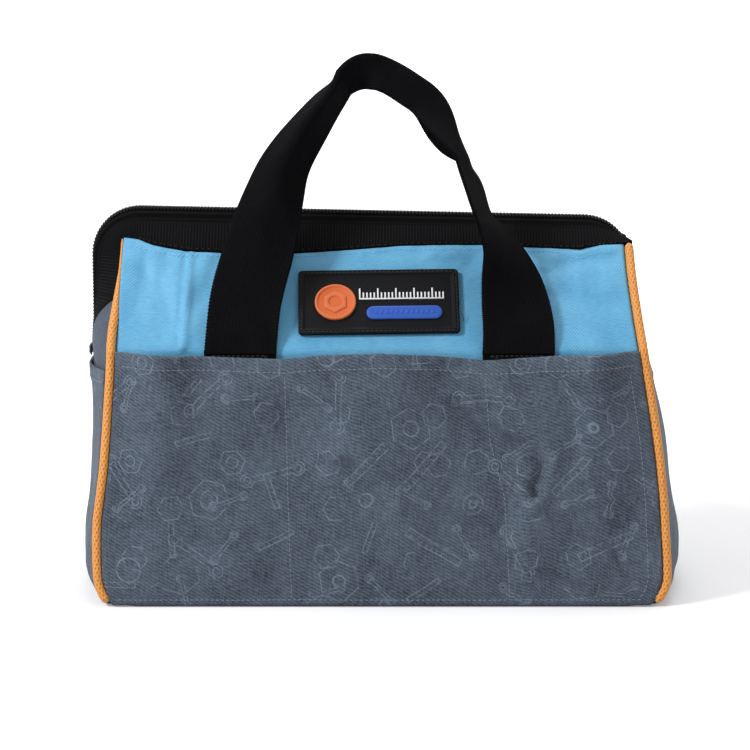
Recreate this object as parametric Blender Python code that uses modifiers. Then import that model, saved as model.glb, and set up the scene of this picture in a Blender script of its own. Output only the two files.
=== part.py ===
"""A soft wide-mouth tool bag, 305 mm wide: a stiff base, walls that lean in, outside pockets,
a mouth in two hinged halves closed by a zip, and two webbing handles.

Metres, +Z up, front towards -Y, and the origin on the ground under the middle of the base.
Each flat or curved fabric piece is an open grid set on its surface and given its thickness.
"""

import math

import bmesh
import bpy
from mathutils import Matrix, Vector

MM = 0.001

# Fabric, seams and clearances
FABRIC = 1.8 * MM
GAP = 0.3 * MM
PIPING_RADIUS = 2.4 * MM
PIPING_OUTSET = 1.0 * MM
UPPER_PIPING_LIFT = 1.8 * MM

# Base
BASE_WIDTH = 305 * MM
BASE_DEPTH = 182 * MM
BASE_TURN = 8 * MM
BASE_TURN_HEIGHT = 16 * MM
BASE_CORNER = 6 * MM
BOARD_THICKNESS = 2.5 * MM
BOARD_INSET = 5 * MM

# Lower walls, up to the pocket line
POCKET_LINE_HEIGHT = 131 * MM
POCKET_LINE_WIDTH = 279 * MM
POCKET_LINE_DEPTH = 120 * MM
UPPER_SHIFT = -2.5 * MM
GUSSET_BULGE = 12.5 * MM
GUSSET_SWELL_POWER = 4

# Pockets
POCKET_OPEN = 7 * MM
POCKET_BULGE_START = 20 * MM
STRAP_ROOM = 3 * MM
STRAP_ROOM_HEIGHT = 26 * MM
STRAP_ROOM_RAMP = 14 * MM
SIDE_POCKET_DROP = 10 * MM
SIDE_POCKET_OPEN = 6.6 * MM

# Mouth, closed. Its heights are above the pocket line, and only its left end stands out over the seam
ZIP_OUTREACH_LEFT = 16.5 * MM
ZIP_OUTREACH_RIGHT = 0 * MM
MOUTH_CORNER = 26 * MM
RIDGE_RISE = 71.7 * MM
RIDGE_DROP = 5 * MM
BAND_EDGE_RISE = 50.5 * MM
SIDE_BAND_WIDTH = 25 * MM
SIDE_BAND_TOP_WIDTH = 17 * MM
TAPE_WIDTH = 4.4 * MM
TAPE_THICKNESS = 1.0 * MM

# Zip teeth, slider and pull
COIL_HEIGHT = 2.6 * MM
COIL_HALF_WIDTH = 2.6 * MM
TOOTH_PITCH = 5.4 * MM
TOOTH_REACH = 0.6 * MM
ZIP_TAB_WIDTH = 16 * MM
ZIP_TAB_DROP = 9 * MM
ZIP_TAB_THICKNESS = 1.2 * MM
SLIDER_X = -60 * MM
SLIDER_LENGTH = 10 * MM
SLIDER_WALL = 1.1 * MM
SLIDER_ROOF = 1.5 * MM
SLIDER_CHAMFER = 1.8 * MM
SLIDER_CLEARANCE = 0.35 * MM
BRIDGE_SPAN = 6.4 * MM
BRIDGE_RISE = 2.6 * MM
BRIDGE_RADIUS = 0.6 * MM
PULL_LENGTH = 24 * MM
PULL_WIDTH = 7 * MM
PULL_THICKNESS = 1.3 * MM
PULL_CORNER = 2.3 * MM
PULL_EYE_LENGTH = 3.4 * MM
PULL_EYE_WALL = 0.8 * MM
PULL_EYE_CLEARANCE = 0.3 * MM
PULL_LEAN_DEG = 122

# Handles
WEBBING = 38 * MM
WEBBING_THICKNESS = 2 * MM
HANDLE_SPAN = 184 * MM
HANDLE_SHIFT = -1.2 * MM
HANDLE_RISE = 165 * MM
HANDLE_LEAN_DEG = 20
BACK_HANDLE_FALL_DEG = 120
BACK_HANDLE_BEND_DEG = 48
BACK_HANDLE_BEND_LENGTH = 80 * MM
HANDLE_FOOT_DROP = 1 * MM
HANDLE_FOOT_OUTSET = 2.9 * MM
ANCHOR_LENGTH = 14 * MM

# Badge on the front upper panel
BADGE_WIDTH = 86 * MM
BADGE_HEIGHT = 40 * MM
BADGE_CORNER = 3 * MM
BADGE_THICKNESS = 2.4 * MM
BADGE_RIM = 3 * MM
BADGE_RECESS = 1.0 * MM
BADGE_EDGE_BEVEL = 0.5 * MM
BADGE_CENTRE_RISE = 23 * MM
BADGE_CENTRE_X = -1.5 * MM
DISC_RADIUS = 11 * MM
DISC_HEIGHT = 1.6 * MM
DISC_RING = 1.6 * MM
DISC_X = -25 * MM
BAR_LENGTH = 41 * MM
BAR_WIDTH = 8 * MM
BAR_HEIGHT = 1.4 * MM
BAR_X = 14 * MM
BAR_DROP = 8 * MM

# One handle's middle line from foot to foot: shares of half the span, of the rise and of the webbing
HANDLE_LINE_SHARES = (
    (-0.80, 0.00, 1.00),
    (-0.77, 0.18, 1.00),
    (-0.70, 0.34, 1.00),
    (-0.62, 0.52, 0.92),
    (-0.55, 0.64, 0.76),
    (-0.42, 0.76, 0.60),
    (-0.26, 0.88, 0.60),
    (-0.11, 0.94, 0.60),
    (0.04, 0.93, 0.60),
    (0.16, 0.89, 0.60),
    (0.29, 0.83, 0.60),
    (0.40, 0.71, 0.66),
    (0.52, 0.60, 0.84),
    (0.59, 0.48, 1.00),
    (0.66, 0.41, 1.00),
    (0.73, 0.33, 1.00),
    (0.77, 0.23, 1.00),
    (0.80, 0.10, 1.00),
    (0.80, 0.00, 1.00),
)
# How far the webbing is twisted about its middle line at each of those places
HANDLE_TWISTS_DEG = (0, 0, 15, 30, 35, 34, 58, 50, 10, -16, -34, -57, -66, -70, -61, -48, -27, -6, 0)
BACK_TWIST_SHARE = 0.25

# Front pockets: the share of the panel's width at the middle of each mouth, and half its open width
POCKET_MOUTH_SHARES = ((0.085, 0.075), (0.515, 0.16), (0.915, 0.075))
PANEL_EDGE_SHARE = 0.1

# Heights that follow from the sizes above
SIDE_POCKET_HEIGHT = POCKET_LINE_HEIGHT - SIDE_POCKET_DROP
RIDGE_HEIGHT = POCKET_LINE_HEIGHT + RIDGE_RISE
BAND_EDGE_HEIGHT = POCKET_LINE_HEIGHT + BAND_EDGE_RISE
BADGE_CENTRE_HEIGHT = POCKET_LINE_HEIGHT + BADGE_CENTRE_RISE

COLOURS = {
    "slate_fabric": ((0.072, 0.098, 0.14), 0.85, 0.0),
    "sky_fabric": ((0.16, 0.50, 0.78), 0.7, 0.0),
    "black_webbing": ((0.012, 0.012, 0.014), 0.8, 0.0),
    "black_ribbed": ((0.010, 0.010, 0.012), 0.75, 0.0),
    "orange_cord": ((0.95, 0.38, 0.07), 0.6, 0.0),
    "black_rubber": ((0.010, 0.011, 0.013), 0.45, 0.0),
    "orange_rubber": ((0.83, 0.24, 0.06), 0.5, 0.0),
    "blue_rubber": ((0.02, 0.10, 0.55), 0.5, 0.0),
    "black_nylon": ((0.018, 0.018, 0.020), 0.4, 0.0),
    "dark_metal": ((0.03, 0.03, 0.03), 0.35, 0.9),
    "grey_board": ((0.18, 0.18, 0.18), 0.8, 0.0),
}

# How finely curved pieces are divided
CORNER_STEPS = 4
QUARTER_DEG = 90
BASE_END_STEPS = 10
DISC_STEPS = 32
PULL_EYE_STEPS = 24
WALL_ROWS = 8
LEVEL_POWER = 1.6
POCKET_RISE_POWER = 0.7
POCKET_COLUMNS = 26
GUSSET_COLUMNS = 10
ZIP_PARTS = 5
ZIP_PART_STEPS = 6
WELD = 0.005 * MM

# Where a tooth's flanks start and end either side of its middle, and how long the zip's straight ends
# of the ridge are, as shares of the pitch
TOOTH_FLANK_SHARES = (-0.24, -0.13, 0.13, 0.24)
TOOTH_END_SHARE = 0.05

LEFT, RIGHT = -1, 1
FRONT, BACK = -1, 1
END_NAMES = {LEFT: "left", RIGHT: "right"}
FACE_NAMES = {FRONT: "front", BACK: "back"}


def mix(low, high, share):
    """The value that lies the given share of the way from low to high."""
    return low + (high - low) * share


def bump(share, middle, half_width):
    """A smooth rise from 0 to 1 and back, centred on middle."""
    distance = abs(share - middle) / half_width
    return math.cos(distance * math.pi / 2) ** 2 if distance < 1 else 0.0


# The bag's surfaces


def seam_x(end, z):
    """Where the piping's middle runs on the corner seam of one end."""
    if z > POCKET_LINE_HEIGHT:
        return UPPER_SHIFT + end * (POCKET_LINE_WIDTH / 2 - PIPING_RADIUS)
    share = z / POCKET_LINE_HEIGHT
    turn = BASE_TURN * max(0, 1 - z / BASE_TURN_HEIGHT) ** 2
    half = mix(BASE_WIDTH, POCKET_LINE_WIDTH, share) / 2
    return UPPER_SHIFT * share + end * (half - PIPING_RADIUS - turn)


def tape_drop():
    """How far the zip tape's upper edge lies below the coil's middle on the ridge."""
    return COIL_HEIGHT / 2 + GAP + TAPE_THICKNESS / 2


def tape_top():
    """Distance from the middle plane, and height, of the zip tape's upper edge on the ridge."""
    return COIL_HALF_WIDTH + GAP + TAPE_THICKNESS / 2, RIDGE_HEIGHT - tape_drop()


def wall_slope(z):
    """How far the front and back walls lean in for each unit of height."""
    if z <= POCKET_LINE_HEIGHT:
        foot = BASE_DEPTH / 2 - FABRIC * 3 / 2 - GAP
        return (foot - POCKET_LINE_DEPTH / 2) / POCKET_LINE_HEIGHT
    top_y, top_z = tape_top()
    return (POCKET_LINE_DEPTH / 2 - top_y) / (top_z - POCKET_LINE_HEIGHT)


def wall_y(z):
    """Distance of the inner front and back walls' middle surface from the middle plane."""
    return POCKET_LINE_DEPTH / 2 + (POCKET_LINE_HEIGHT - z) * wall_slope(z)


def level(v, high):
    """Height at share v of the way up a lower wall; levels are closer where the corner seam turns in."""
    return mix(FABRIC + 3 * GAP, high, v**LEVEL_POWER)


def wall_top():
    """Top of the middle surface of everything that stays still when the mouth opens."""
    return POCKET_LINE_HEIGHT - GAP


def zip_x(end):
    """Where the closed zip runs down one end."""
    outreach = ZIP_OUTREACH_LEFT if end == LEFT else ZIP_OUTREACH_RIGHT
    return UPPER_SHIFT + end * (POCKET_LINE_WIDTH / 2 + outreach)


def gusset_x(end, y, z):
    """The middle surface of an end panel, which swells out between the two seams."""
    top_bulge = end * (zip_x(end) - seam_x(end, POCKET_LINE_HEIGHT))
    share = min(1, z / POCKET_LINE_HEIGHT) ** GUSSET_SWELL_POWER
    bulge = mix(GUSSET_BULGE, top_bulge, share)
    return seam_x(end, z) + end * bulge * (1 - (y / wall_y(z)) ** 2)


def corner_height(end):
    """Height of the middle of the zip's round corner at one end."""
    return RIDGE_HEIGHT - MOUTH_CORNER - (RIDGE_DROP if end == RIGHT else 0)


def corner_x(end):
    return zip_x(end) - end * MOUTH_CORNER


def mouth_foot():
    """Height of the lowest edge of everything that swings with the mouth."""
    return POCKET_LINE_HEIGHT + FABRIC / 2


def zip_path(walk):
    """Point (x, z) and outward normal of the closed zip's line, from 0 at its left foot to 5.

    Each whole number is a joint: left straight, left corner, ridge, right corner, right straight.
    """
    part = min(4, int(walk))
    share = walk - part
    if part in (0, 4):
        end = LEFT if part == 0 else RIGHT
        along = share if end == LEFT else 1 - share
        z = mix(mouth_foot(), corner_height(end), along)
        return zip_x(end), z, end, 0.0
    if part == 2:
        z = mix(RIDGE_HEIGHT, RIDGE_HEIGHT - RIDGE_DROP, share)
        return mix(corner_x(LEFT), corner_x(RIGHT), share), z, 0.0, 1.0
    end = LEFT if part == 1 else RIGHT
    angle = (share if end == LEFT else 1 - share) * math.pi / 2
    across, up = end * math.cos(angle), math.sin(angle)
    x = corner_x(end) + across * MOUTH_CORNER
    return x, corner_height(end) + up * MOUTH_CORNER, across, up


def side_band_y(end, z):
    """How far from the middle plane the mouth band's edge runs on an end panel."""
    share = (z - POCKET_LINE_HEIGHT) / (corner_height(end) - POCKET_LINE_HEIGHT)
    return mix(SIDE_BAND_WIDTH, SIDE_BAND_TOP_WIDTH, share)


def rim_top(walk):
    """The zip tape's upper edge on the front half, beside the coil."""
    x, z, normal_x, normal_z = zip_path(walk)
    drop = tape_drop() * normal_z
    return Vector((x - normal_x * drop, -tape_top()[0], z - normal_z * drop))


def rim_edge(walk):
    """The mouth band's lower edge on the front half."""
    part = min(4, int(walk))
    share = walk - part
    if part in (0, 4):
        end = LEFT if part == 0 else RIGHT
        z = zip_path(walk)[1]
        y = -side_band_y(end, z)
        return Vector((gusset_x(end, y, z), y, z))
    y = -wall_y(BAND_EDGE_HEIGHT)
    if part == 2:
        return Vector((zip_path(walk)[0], y, BAND_EDGE_HEIGHT))
    end = LEFT if part == 1 else RIGHT
    climb = share if end == LEFT else 1 - share
    z = corner_height(end)
    foot = Vector((gusset_x(end, side_band_y(end, z), z), -side_band_y(end, z), z))
    knee_x = seam_x(end, BAND_EDGE_HEIGHT) + end * FABRIC
    knee = Vector((knee_x, y + FABRIC / 2, BAND_EDGE_HEIGHT + FABRIC / 2))
    top = Vector((corner_x(end), y, BAND_EDGE_HEIGHT))
    if climb < 0.5:
        return foot.lerp(knee, climb * 2)
    return knee.lerp(top, climb * 2 - 1)


def mouth_axis(face):
    """A point inside the pocket hem, over which one half of the mouth and its handle fold."""
    y = wall_y(wall_top()) + FABRIC + GAP + STRAP_ROOM
    return Vector((0, face * y, wall_top() - GAP))


def facing(face, point):
    """A point of the front half, or its mirror image on the back half."""
    return Vector((point.x, -face * point.y, point.z))


# Making objects


class Workshop:
    """Makes the objects, puts them in the bag's collection and gives each a material."""

    def __init__(self):
        for old in list(bpy.data.objects):
            bpy.data.objects.remove(old)
        self.parts = bpy.data.collections.new("tool_bag")
        self.cutters = bpy.data.collections.new("cutters")
        self.cutters.hide_render = True
        for collection in (self.parts, self.cutters):
            bpy.context.scene.collection.children.link(collection)

    def paint(self, obj, colour):
        base, roughness, metallic = COLOURS[colour]
        material = bpy.data.materials.new(f"{obj.name}_{colour}")
        material.use_nodes = True
        shader = material.node_tree.nodes["Principled BSDF"]
        shader.inputs["Base Color"].default_value = (*base, 1)
        shader.inputs["Roughness"].default_value = roughness
        shader.inputs["Metallic"].default_value = metallic
        obj.data.materials.append(material)

    def add(self, name, data, colour):
        obj = bpy.data.objects.new(name, data)
        self.parts.objects.link(obj)
        self.paint(obj, colour)
        return obj

    def axis(self, name, location, parent=None):
        """An empty on a joint's axis, which carries the pieces that move with it."""
        empty = bpy.data.objects.new(name, None)
        self.parts.objects.link(empty)
        empty.location = location
        if parent:
            self.hang(empty, parent)
        return empty

    def hang(self, obj, parent):
        """Parents obj to an unturned empty without moving it, so its own location stays a world one."""
        obj.parent = parent
        obj.matrix_parent_inverse = Matrix.Translation(-parent.location)

    def sheet(self, name, columns, rows, place, thickness, colour, parent=None):
        """A fabric piece: place(u, v) gives its middle surface for shares u across and v up."""
        shape = bmesh.new()
        bmesh.ops.create_grid(shape, x_segments=columns, y_segments=rows, size=1)
        for vert in shape.verts:
            vert.co = place((vert.co.x + 1) / 2, (vert.co.y + 1) / 2)
        mesh = bpy.data.meshes.new(name)
        shape.to_mesh(mesh)
        shape.free()
        mesh.shade_smooth()
        obj = self.add(name, mesh, colour)
        solidify = obj.modifiers.new("thickness", "SOLIDIFY")
        solidify.thickness = thickness
        solidify.offset = 0
        if parent:
            self.hang(obj, parent)
        return obj

    def tube(self, name, points, radius, colour, parent=None):
        """A round cord through the points, with closed ends."""
        curve = bpy.data.curves.new(name, "CURVE")
        curve.dimensions = "3D"
        curve.bevel_depth = radius
        curve.bevel_resolution = 1
        curve.use_fill_caps = True
        spline = curve.splines.new("POLY")
        spline.points.add(len(points) - 1)
        for control, point in zip(spline.points, points):
            control.co = (*point, 1)
        obj = self.add(name, curve, colour)
        if parent:
            self.hang(obj, parent)
        return obj

    def plate(self, name, outline, bottom, height, colour, bevel=0):
        """A flat outline in XY, made as thick as height from bottom up."""
        curve = bpy.data.curves.new(name, "CURVE")
        curve.dimensions = "2D"
        curve.fill_mode = "BOTH"
        curve.extrude = height / 2 - bevel
        curve.bevel_depth = bevel
        curve.bevel_resolution = 1
        spline = curve.splines.new("POLY")
        spline.points.add(len(outline) - 1)
        for control, (x, y) in zip(spline.points, outline):
            control.co = (x, y, 0, 1)
        spline.use_cyclic_u = True
        obj = self.add(name, curve, colour)
        obj.location.z = bottom + height / 2
        return obj


def meshed(shop, obj):
    """The same object as a welded mesh, which can be cut or joined; the curve is removed."""
    bpy.context.view_layer.update()
    graph = bpy.context.evaluated_depsgraph_get()
    mesh = bpy.data.meshes.new_from_object(obj.evaluated_get(graph))
    shape = bmesh.new()
    shape.from_mesh(mesh)
    bmesh.ops.remove_doubles(shape, verts=shape.verts, dist=WELD)
    shape.to_mesh(mesh)
    shape.free()
    name = obj.name
    solid = bpy.data.objects.new(name, mesh)
    solid.matrix_world = obj.matrix_world
    bpy.data.objects.remove(obj)
    solid.name = name
    shop.parts.objects.link(solid)
    return solid


def use_cutter(shop, target, cutter, operation):
    """Joins cutter to target or cuts it away, and leaves it as a hidden guide."""
    shop.parts.objects.unlink(cutter)
    shop.cutters.objects.link(cutter)
    cutter.hide_render = True
    cutter.display_type = "WIRE"
    boolean = target.modifiers.new(operation.lower(), "BOOLEAN")
    boolean.operation = operation
    boolean.object = cutter


def arc(centre_x, centre_y, radius, start_deg, end_deg, steps):
    """Points along a circle's arc, both ends included."""
    angles = [math.radians(mix(start_deg, end_deg, step / steps)) for step in range(steps + 1)]
    return [(centre_x + radius * math.cos(a), centre_y + radius * math.sin(a)) for a in angles]


def circle(radius):
    """The outline of a circle round the origin."""
    whole = 4 * QUARTER_DEG
    return arc(0, 0, radius, 0, whole - whole / PULL_EYE_STEPS, PULL_EYE_STEPS - 1)


def rounded_rectangle(width, height, corner):
    """The outline of a rectangle with round corners, centred on the origin."""
    points = []
    for quarter in range(4):
        sign_x = 1 if quarter in (0, 3) else -1
        sign_y = 1 if quarter in (0, 1) else -1
        middle = (sign_x * (width / 2 - corner), sign_y * (height / 2 - corner))
        points += arc(*middle, corner, quarter * QUARTER_DEG, (quarter + 1) * QUARTER_DEG, CORNER_STEPS)
    return points


# Base


def base_outline(inset):
    """The base seen from above: straight front and back, and ends that swell out like the gussets."""
    half_depth = BASE_DEPTH / 2 - inset
    points = []
    for end, order in ((RIGHT, 1), (LEFT, -1)):
        corner = seam_x(end, 0) - end * (BASE_CORNER + inset)
        points.append((corner, -order * half_depth))
        for step in range(BASE_END_STEPS + 1):
            y = order * mix(-1, 1, step / BASE_END_STEPS) * (half_depth - BASE_CORNER)
            points.append((gusset_x(end, y, 0) + end * (FABRIC * 3 / 2 + GAP - inset), y))
        points.append((corner, order * half_depth))
    return points


def build_base(shop):
    shop.plate("base_panel", base_outline(0), 0, FABRIC, "slate_fabric")
    inset = BOARD_INSET + 2 * FABRIC
    shop.plate("base_board", base_outline(inset), FABRIC + GAP, BOARD_THICKNESS, "grey_board")


# Walls, pockets and lower piping


def panel_x(u, z):
    """X at share u of the way between the two corner pipings, which turn in towards the base."""
    turn_slope = 2 * BASE_TURN / BASE_TURN_HEIGHT * max(0, 1 - z / BASE_TURN_HEIGHT)
    inset = (PIPING_RADIUS + GAP) * math.hypot(1, turn_slope)
    return mix(seam_x(LEFT, z) + inset, seam_x(RIGHT, z) - inset, u)


def gusset_y(v, z):
    """Y at share v of the way between the front and back corner pipings, which lean like the walls."""
    across = (PIPING_RADIUS + GAP) * math.hypot(1, wall_slope(z))
    reach = wall_y(z) + PIPING_OUTSET - across
    return mix(-reach, reach, v)


def pocket_offset(u, z):
    """How far an outer pocket panel's middle surface stands off the wall's, sewn down between mouths."""
    edge = min(1, u / PANEL_EDGE_SHARE, (1 - u) / PANEL_EDGE_SHARE)
    ramp_foot = POCKET_LINE_HEIGHT - STRAP_ROOM_HEIGHT - STRAP_ROOM_RAMP
    ramp = min(1, max(0, (z - ramp_foot) / STRAP_ROOM_RAMP))
    opened = sum(bump(u, middle, half) for middle, half in POCKET_MOUTH_SHARES)
    rise = max(0, z - POCKET_BULGE_START) / (POCKET_LINE_HEIGHT - POCKET_BULGE_START)
    return FABRIC + GAP + STRAP_ROOM * edge * ramp + POCKET_OPEN * opened * rise**POCKET_RISE_POWER


def build_face(shop, face):
    """The inner wall and the outer pocket panel of the front or the back."""
    name = FACE_NAMES[face]

    def wall(u, v):
        z = level(v, wall_top())
        return Vector((panel_x(u, z), face * wall_y(z), z))

    def pocket(u, v):
        z = level(v, wall_top())
        return Vector((panel_x(u, z), face * (wall_y(z) + pocket_offset(u, z)), z))

    shop.sheet(f"{name}_lower_panel", 4, WALL_ROWS, wall, FABRIC, "slate_fabric")
    shop.sheet(f"{name}_pocket_panel", POCKET_COLUMNS, WALL_ROWS, pocket, FABRIC, "slate_fabric")


def build_end(shop, end):
    """The gusset, side pocket and zip end tab of one end."""
    name = END_NAMES[end]
    rows = WALL_ROWS + 1

    def gusset(u, v):
        row = round(v * rows)
        z = level(row / WALL_ROWS, SIDE_POCKET_HEIGHT) if row < rows else wall_top()
        y = gusset_y(u, z)
        return Vector((gusset_x(end, y, z), y, z))

    def pocket(u, v):
        z = level(v, SIDE_POCKET_HEIGHT)
        y = gusset_y(u, z)
        opened = math.sin(u * math.pi) ** 2 * math.sqrt(v)
        offset = FABRIC + 2 * GAP + SIDE_POCKET_OPEN * opened
        return Vector((gusset_x(end, y, z) + end * offset, y, z))

    def tab(u, v):
        z = mix(POCKET_LINE_HEIGHT - ZIP_TAB_DROP, wall_top(), v)
        y = mix(-ZIP_TAB_WIDTH, ZIP_TAB_WIDTH, u) / 2
        offset = (FABRIC + ZIP_TAB_THICKNESS) / 2 + 2 * GAP
        return Vector((gusset_x(end, y, z) + end * offset, y, z))

    shop.sheet(f"{name}_gusset", GUSSET_COLUMNS, rows, gusset, FABRIC, "slate_fabric")
    shop.sheet(f"{name}_side_pocket", GUSSET_COLUMNS, WALL_ROWS, pocket, FABRIC, "slate_fabric")
    shop.sheet(f"{name}_zip_end_tab", 2, 1, tab, ZIP_TAB_THICKNESS, "black_ribbed")


def piping_points(face, end, levels):
    return [Vector((seam_x(end, z), face * (wall_y(z) + PIPING_OUTSET), z)) for z in levels]


def build_lower_piping(shop, face, end):
    lift = PIPING_RADIUS / 2
    levels = [level(step / WALL_ROWS, wall_top() - lift) + lift for step in range(WALL_ROWS + 1)]
    points = piping_points(face, end, levels)
    shop.tube(f"{FACE_NAMES[face]}_{END_NAMES[end]}_piping", points, PIPING_RADIUS, "orange_cord")


def foot_x(end):
    """Middle of a handle's foot."""
    return HANDLE_SHIFT + end * -HANDLE_LINE_SHARES[0][0] * HANDLE_SPAN / 2


def handle_foot_height():
    return POCKET_LINE_HEIGHT - HANDLE_FOOT_DROP


def build_anchor(shop, face, end):
    """The sewn end of a handle's webbing, flat on the wall behind the pocket panel's hem."""
    top = handle_foot_height() - WEBBING_THICKNESS / 2 - GAP

    def anchor(u, v):
        z = mix(top - ANCHOR_LENGTH, top, v)
        y = wall_y(z) + (FABRIC + WEBBING_THICKNESS) / 2 + GAP
        return Vector((foot_x(end) + mix(-WEBBING, WEBBING, u) / 2, face * y, z))

    name = f"{FACE_NAMES[face]}_{END_NAMES[end]}_handle_anchor"
    shop.sheet(name, 2, 1, anchor, WEBBING_THICKNESS, "black_webbing")


# Mouth halves


def build_upper_panel(shop, face, axis):
    def panel(u, v):
        z = mix(mouth_foot(), BAND_EDGE_HEIGHT - GAP * 3 / 2, v)
        return facing(face, Vector((panel_x(u, z), -wall_y(z), z)))

    shop.sheet(f"{FACE_NAMES[face]}_upper_panel", 8, 3, panel, FABRIC, "sky_fabric", axis)


def build_upper_end(shop, face, end, axis):
    """The half of an upper gusset, and the piping, that swing with this half of the mouth."""
    name = f"{FACE_NAMES[face]}_{END_NAMES[end]}_upper"

    def gusset(u, v):
        z = mix(mouth_foot(), corner_height(end), v)
        y = mix(gusset_y(0, z), -side_band_y(end, z) - 2 * GAP, u)
        return facing(face, Vector((gusset_x(end, y, z), y, z)))

    shop.sheet(f"{name}_gusset", 4, 4, gusset, FABRIC, "slate_fabric", axis)
    low = mouth_foot() + UPPER_PIPING_LIFT
    points = piping_points(face, end, (low, BAND_EDGE_HEIGHT - FABRIC / 2))
    shop.tube(f"{name}_piping", points, PIPING_RADIUS, "orange_cord", axis)


def build_mouth_rim(shop, face, axis):
    """The ribbed band and the zip tape, both running up one end, along the ridge and down the other."""
    name = FACE_NAMES[face]

    def rim(u, v, low, high):
        edge, top = rim_edge(u * ZIP_PARTS), rim_top(u * ZIP_PARTS)
        across = (top - edge).length
        return facing(face, edge.lerp(top, mix(low(across), high(across), v) / across))

    def band(u, v):
        return rim(u, v, lambda across: 0, lambda across: across - TAPE_WIDTH - 2 * GAP)

    def tape(u, v):
        return rim(u, v, lambda across: across - TAPE_WIDTH, lambda across: across)

    columns = ZIP_PARTS * ZIP_PART_STEPS
    shop.sheet(f"{name}_mouth_band", columns, 2, band, FABRIC, "black_ribbed", axis)
    shop.sheet(f"{name}_zip_tape", columns, 1, tape, TAPE_THICKNESS, "black_ribbed", axis)


def coil_stations(face):
    """(walk, inner y on the front half) along one row of teeth, which mesh with the other row's."""
    plain, tip, valley = -GAP / 2, TOOTH_REACH, -TOOTH_REACH - GAP
    steps = range(ZIP_PART_STEPS + 1)
    left_corner = [(1 + step / ZIP_PART_STEPS, plain) for step in steps]
    right_corner = [(3 + step / ZIP_PART_STEPS, plain) for step in steps]
    pitches = round((corner_x(RIGHT) - corner_x(LEFT)) / TOOTH_PITCH)
    first = 1 / 2 if face == FRONT else 1
    row = [(TOOTH_END_SHARE, valley)]
    for tooth in range(pitches - (face == BACK)):
        for shift, y in zip(TOOTH_FLANK_SHARES, (valley, tip, tip, valley)):
            row.append((tooth + first + shift, y))
    row.append((pitches - TOOTH_END_SHARE, valley))
    ridge = [(2 + place / pitches, y) for place, y in row]
    return [(0, plain), *left_corner, *ridge, *right_corner, (5, plain)]


def build_coil(shop, face, axis):
    stations = coil_stations(face)
    columns = len(stations) - 1

    def coil(u, v):
        walk, inner = stations[round(u * columns)]
        x, z = zip_path(walk)[:2]
        return facing(face, Vector((x, mix(-COIL_HALF_WIDTH, inner, v), z)))

    shop.sheet(f"{FACE_NAMES[face]}_zip_coil", columns, 1, coil, COIL_HEIGHT, "black_nylon", axis)


# Handles


def handle_line(share):
    """Across, rise and width of a handle, with its twist, at a share of the way along it."""
    count = len(HANDLE_LINE_SHARES)
    place = share * (count - 1)
    first = min(int(place), count - 2)
    t = place - first
    knots = [HANDLE_LINE_SHARES[min(max(first + step, 0), count - 1)] for step in (-1, 0, 1, 2)]

    def smooth(column):
        a, b, c, d = (knot[column] for knot in knots)
        return b + t * ((c - a) + t * ((2 * a - 5 * b + 4 * c - d) + t * (3 * (b - c) + d - a))) / 2

    twist = mix(HANDLE_TWISTS_DEG[first], HANDLE_TWISTS_DEG[first + 1], t)
    across = smooth(0) * HANDLE_SPAN / 2 + HANDLE_SHIFT
    width = mix(knots[1][2], knots[2][2], t) * WEBBING
    return Vector((across, smooth(1) * HANDLE_RISE)), width, math.radians(twist)


def hung(up, depth, bend):
    """Along and out of a handle's plane, for a point of a handle that bends outwards by an angle."""
    if not bend:
        return up, depth
    curved = min(max(up, 0), BACK_HANDLE_BEND_LENGTH)
    angle = bend * curved / BACK_HANDLE_BEND_LENGTH
    radius = BACK_HANDLE_BEND_LENGTH / bend
    along = (radius - depth) * math.sin(angle) + (up - curved) * math.cos(angle)
    out = radius - (radius - depth) * math.cos(angle) + (up - curved) * math.sin(angle)
    return along, out


def build_handle(shop, face, axis, swing_deg, twist_share, bend_deg):
    """A webbing loop whose grip is folded narrow, fallen outwards from leaning upright by swing_deg.

    Over its lower part it also bends down under its own weight, by bend_deg.
    """
    lean = math.radians(HANDLE_LEAN_DEG)
    step = 1 / (4 * len(HANDLE_LINE_SHARES))
    foot = Vector((0, -POCKET_LINE_DEPTH / 2 - HANDLE_FOOT_OUTSET, handle_foot_height()))
    along = Vector((0, math.sin(lean), math.cos(lean)))
    outward = Vector((0, -math.cos(lean), math.sin(lean)))
    pivot = mouth_axis(FRONT)
    turn = Matrix.Rotation(math.radians(swing_deg), 4, "X")

    def webbing(u, v):
        middle, width, twist = handle_line(u)
        tangent = handle_line(min(1, u + step))[0] - handle_line(max(0, u - step))[0]
        across = Vector((tangent.y, -tangent.x)).normalized()
        level = Vector((1 if u < 0.5 else -1, 0))
        across = level.lerp(across, min(1, middle.y / WEBBING)).normalized()
        reach = width * (v - 0.5)
        flat = middle + across * reach * math.cos(twist * twist_share)
        depth = reach * math.sin(twist * twist_share)
        up, out = hung(flat.y, depth, math.radians(bend_deg))
        point = Vector((flat.x, 0, 0)) + foot + along * up + outward * out
        return facing(face, pivot + turn @ (point - pivot))

    columns = 2 * (len(HANDLE_LINE_SHARES) - 1)
    name = f"{FACE_NAMES[face]}_handle"
    shop.sheet(name, columns, 2, webbing, WEBBING_THICKNESS, "black_webbing", axis)


# Zip slider and its pull


def slider_height():
    share = (SLIDER_X - corner_x(LEFT)) / (corner_x(RIGHT) - corner_x(LEFT))
    return mix(RIDGE_HEIGHT, RIDGE_HEIGHT - RIDGE_DROP, share)


def ridge_tilt():
    return math.atan2(RIDGE_DROP, corner_x(RIGHT) - corner_x(LEFT))


def roof_height():
    """Top of the slider's roof over the coil's middle."""
    return COIL_HEIGHT / 2 + SLIDER_CLEARANCE + SLIDER_ROOF


def bar_height():
    """Middle of the bridge's bar over the coil's middle."""
    return roof_height() + BRIDGE_RISE


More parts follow.
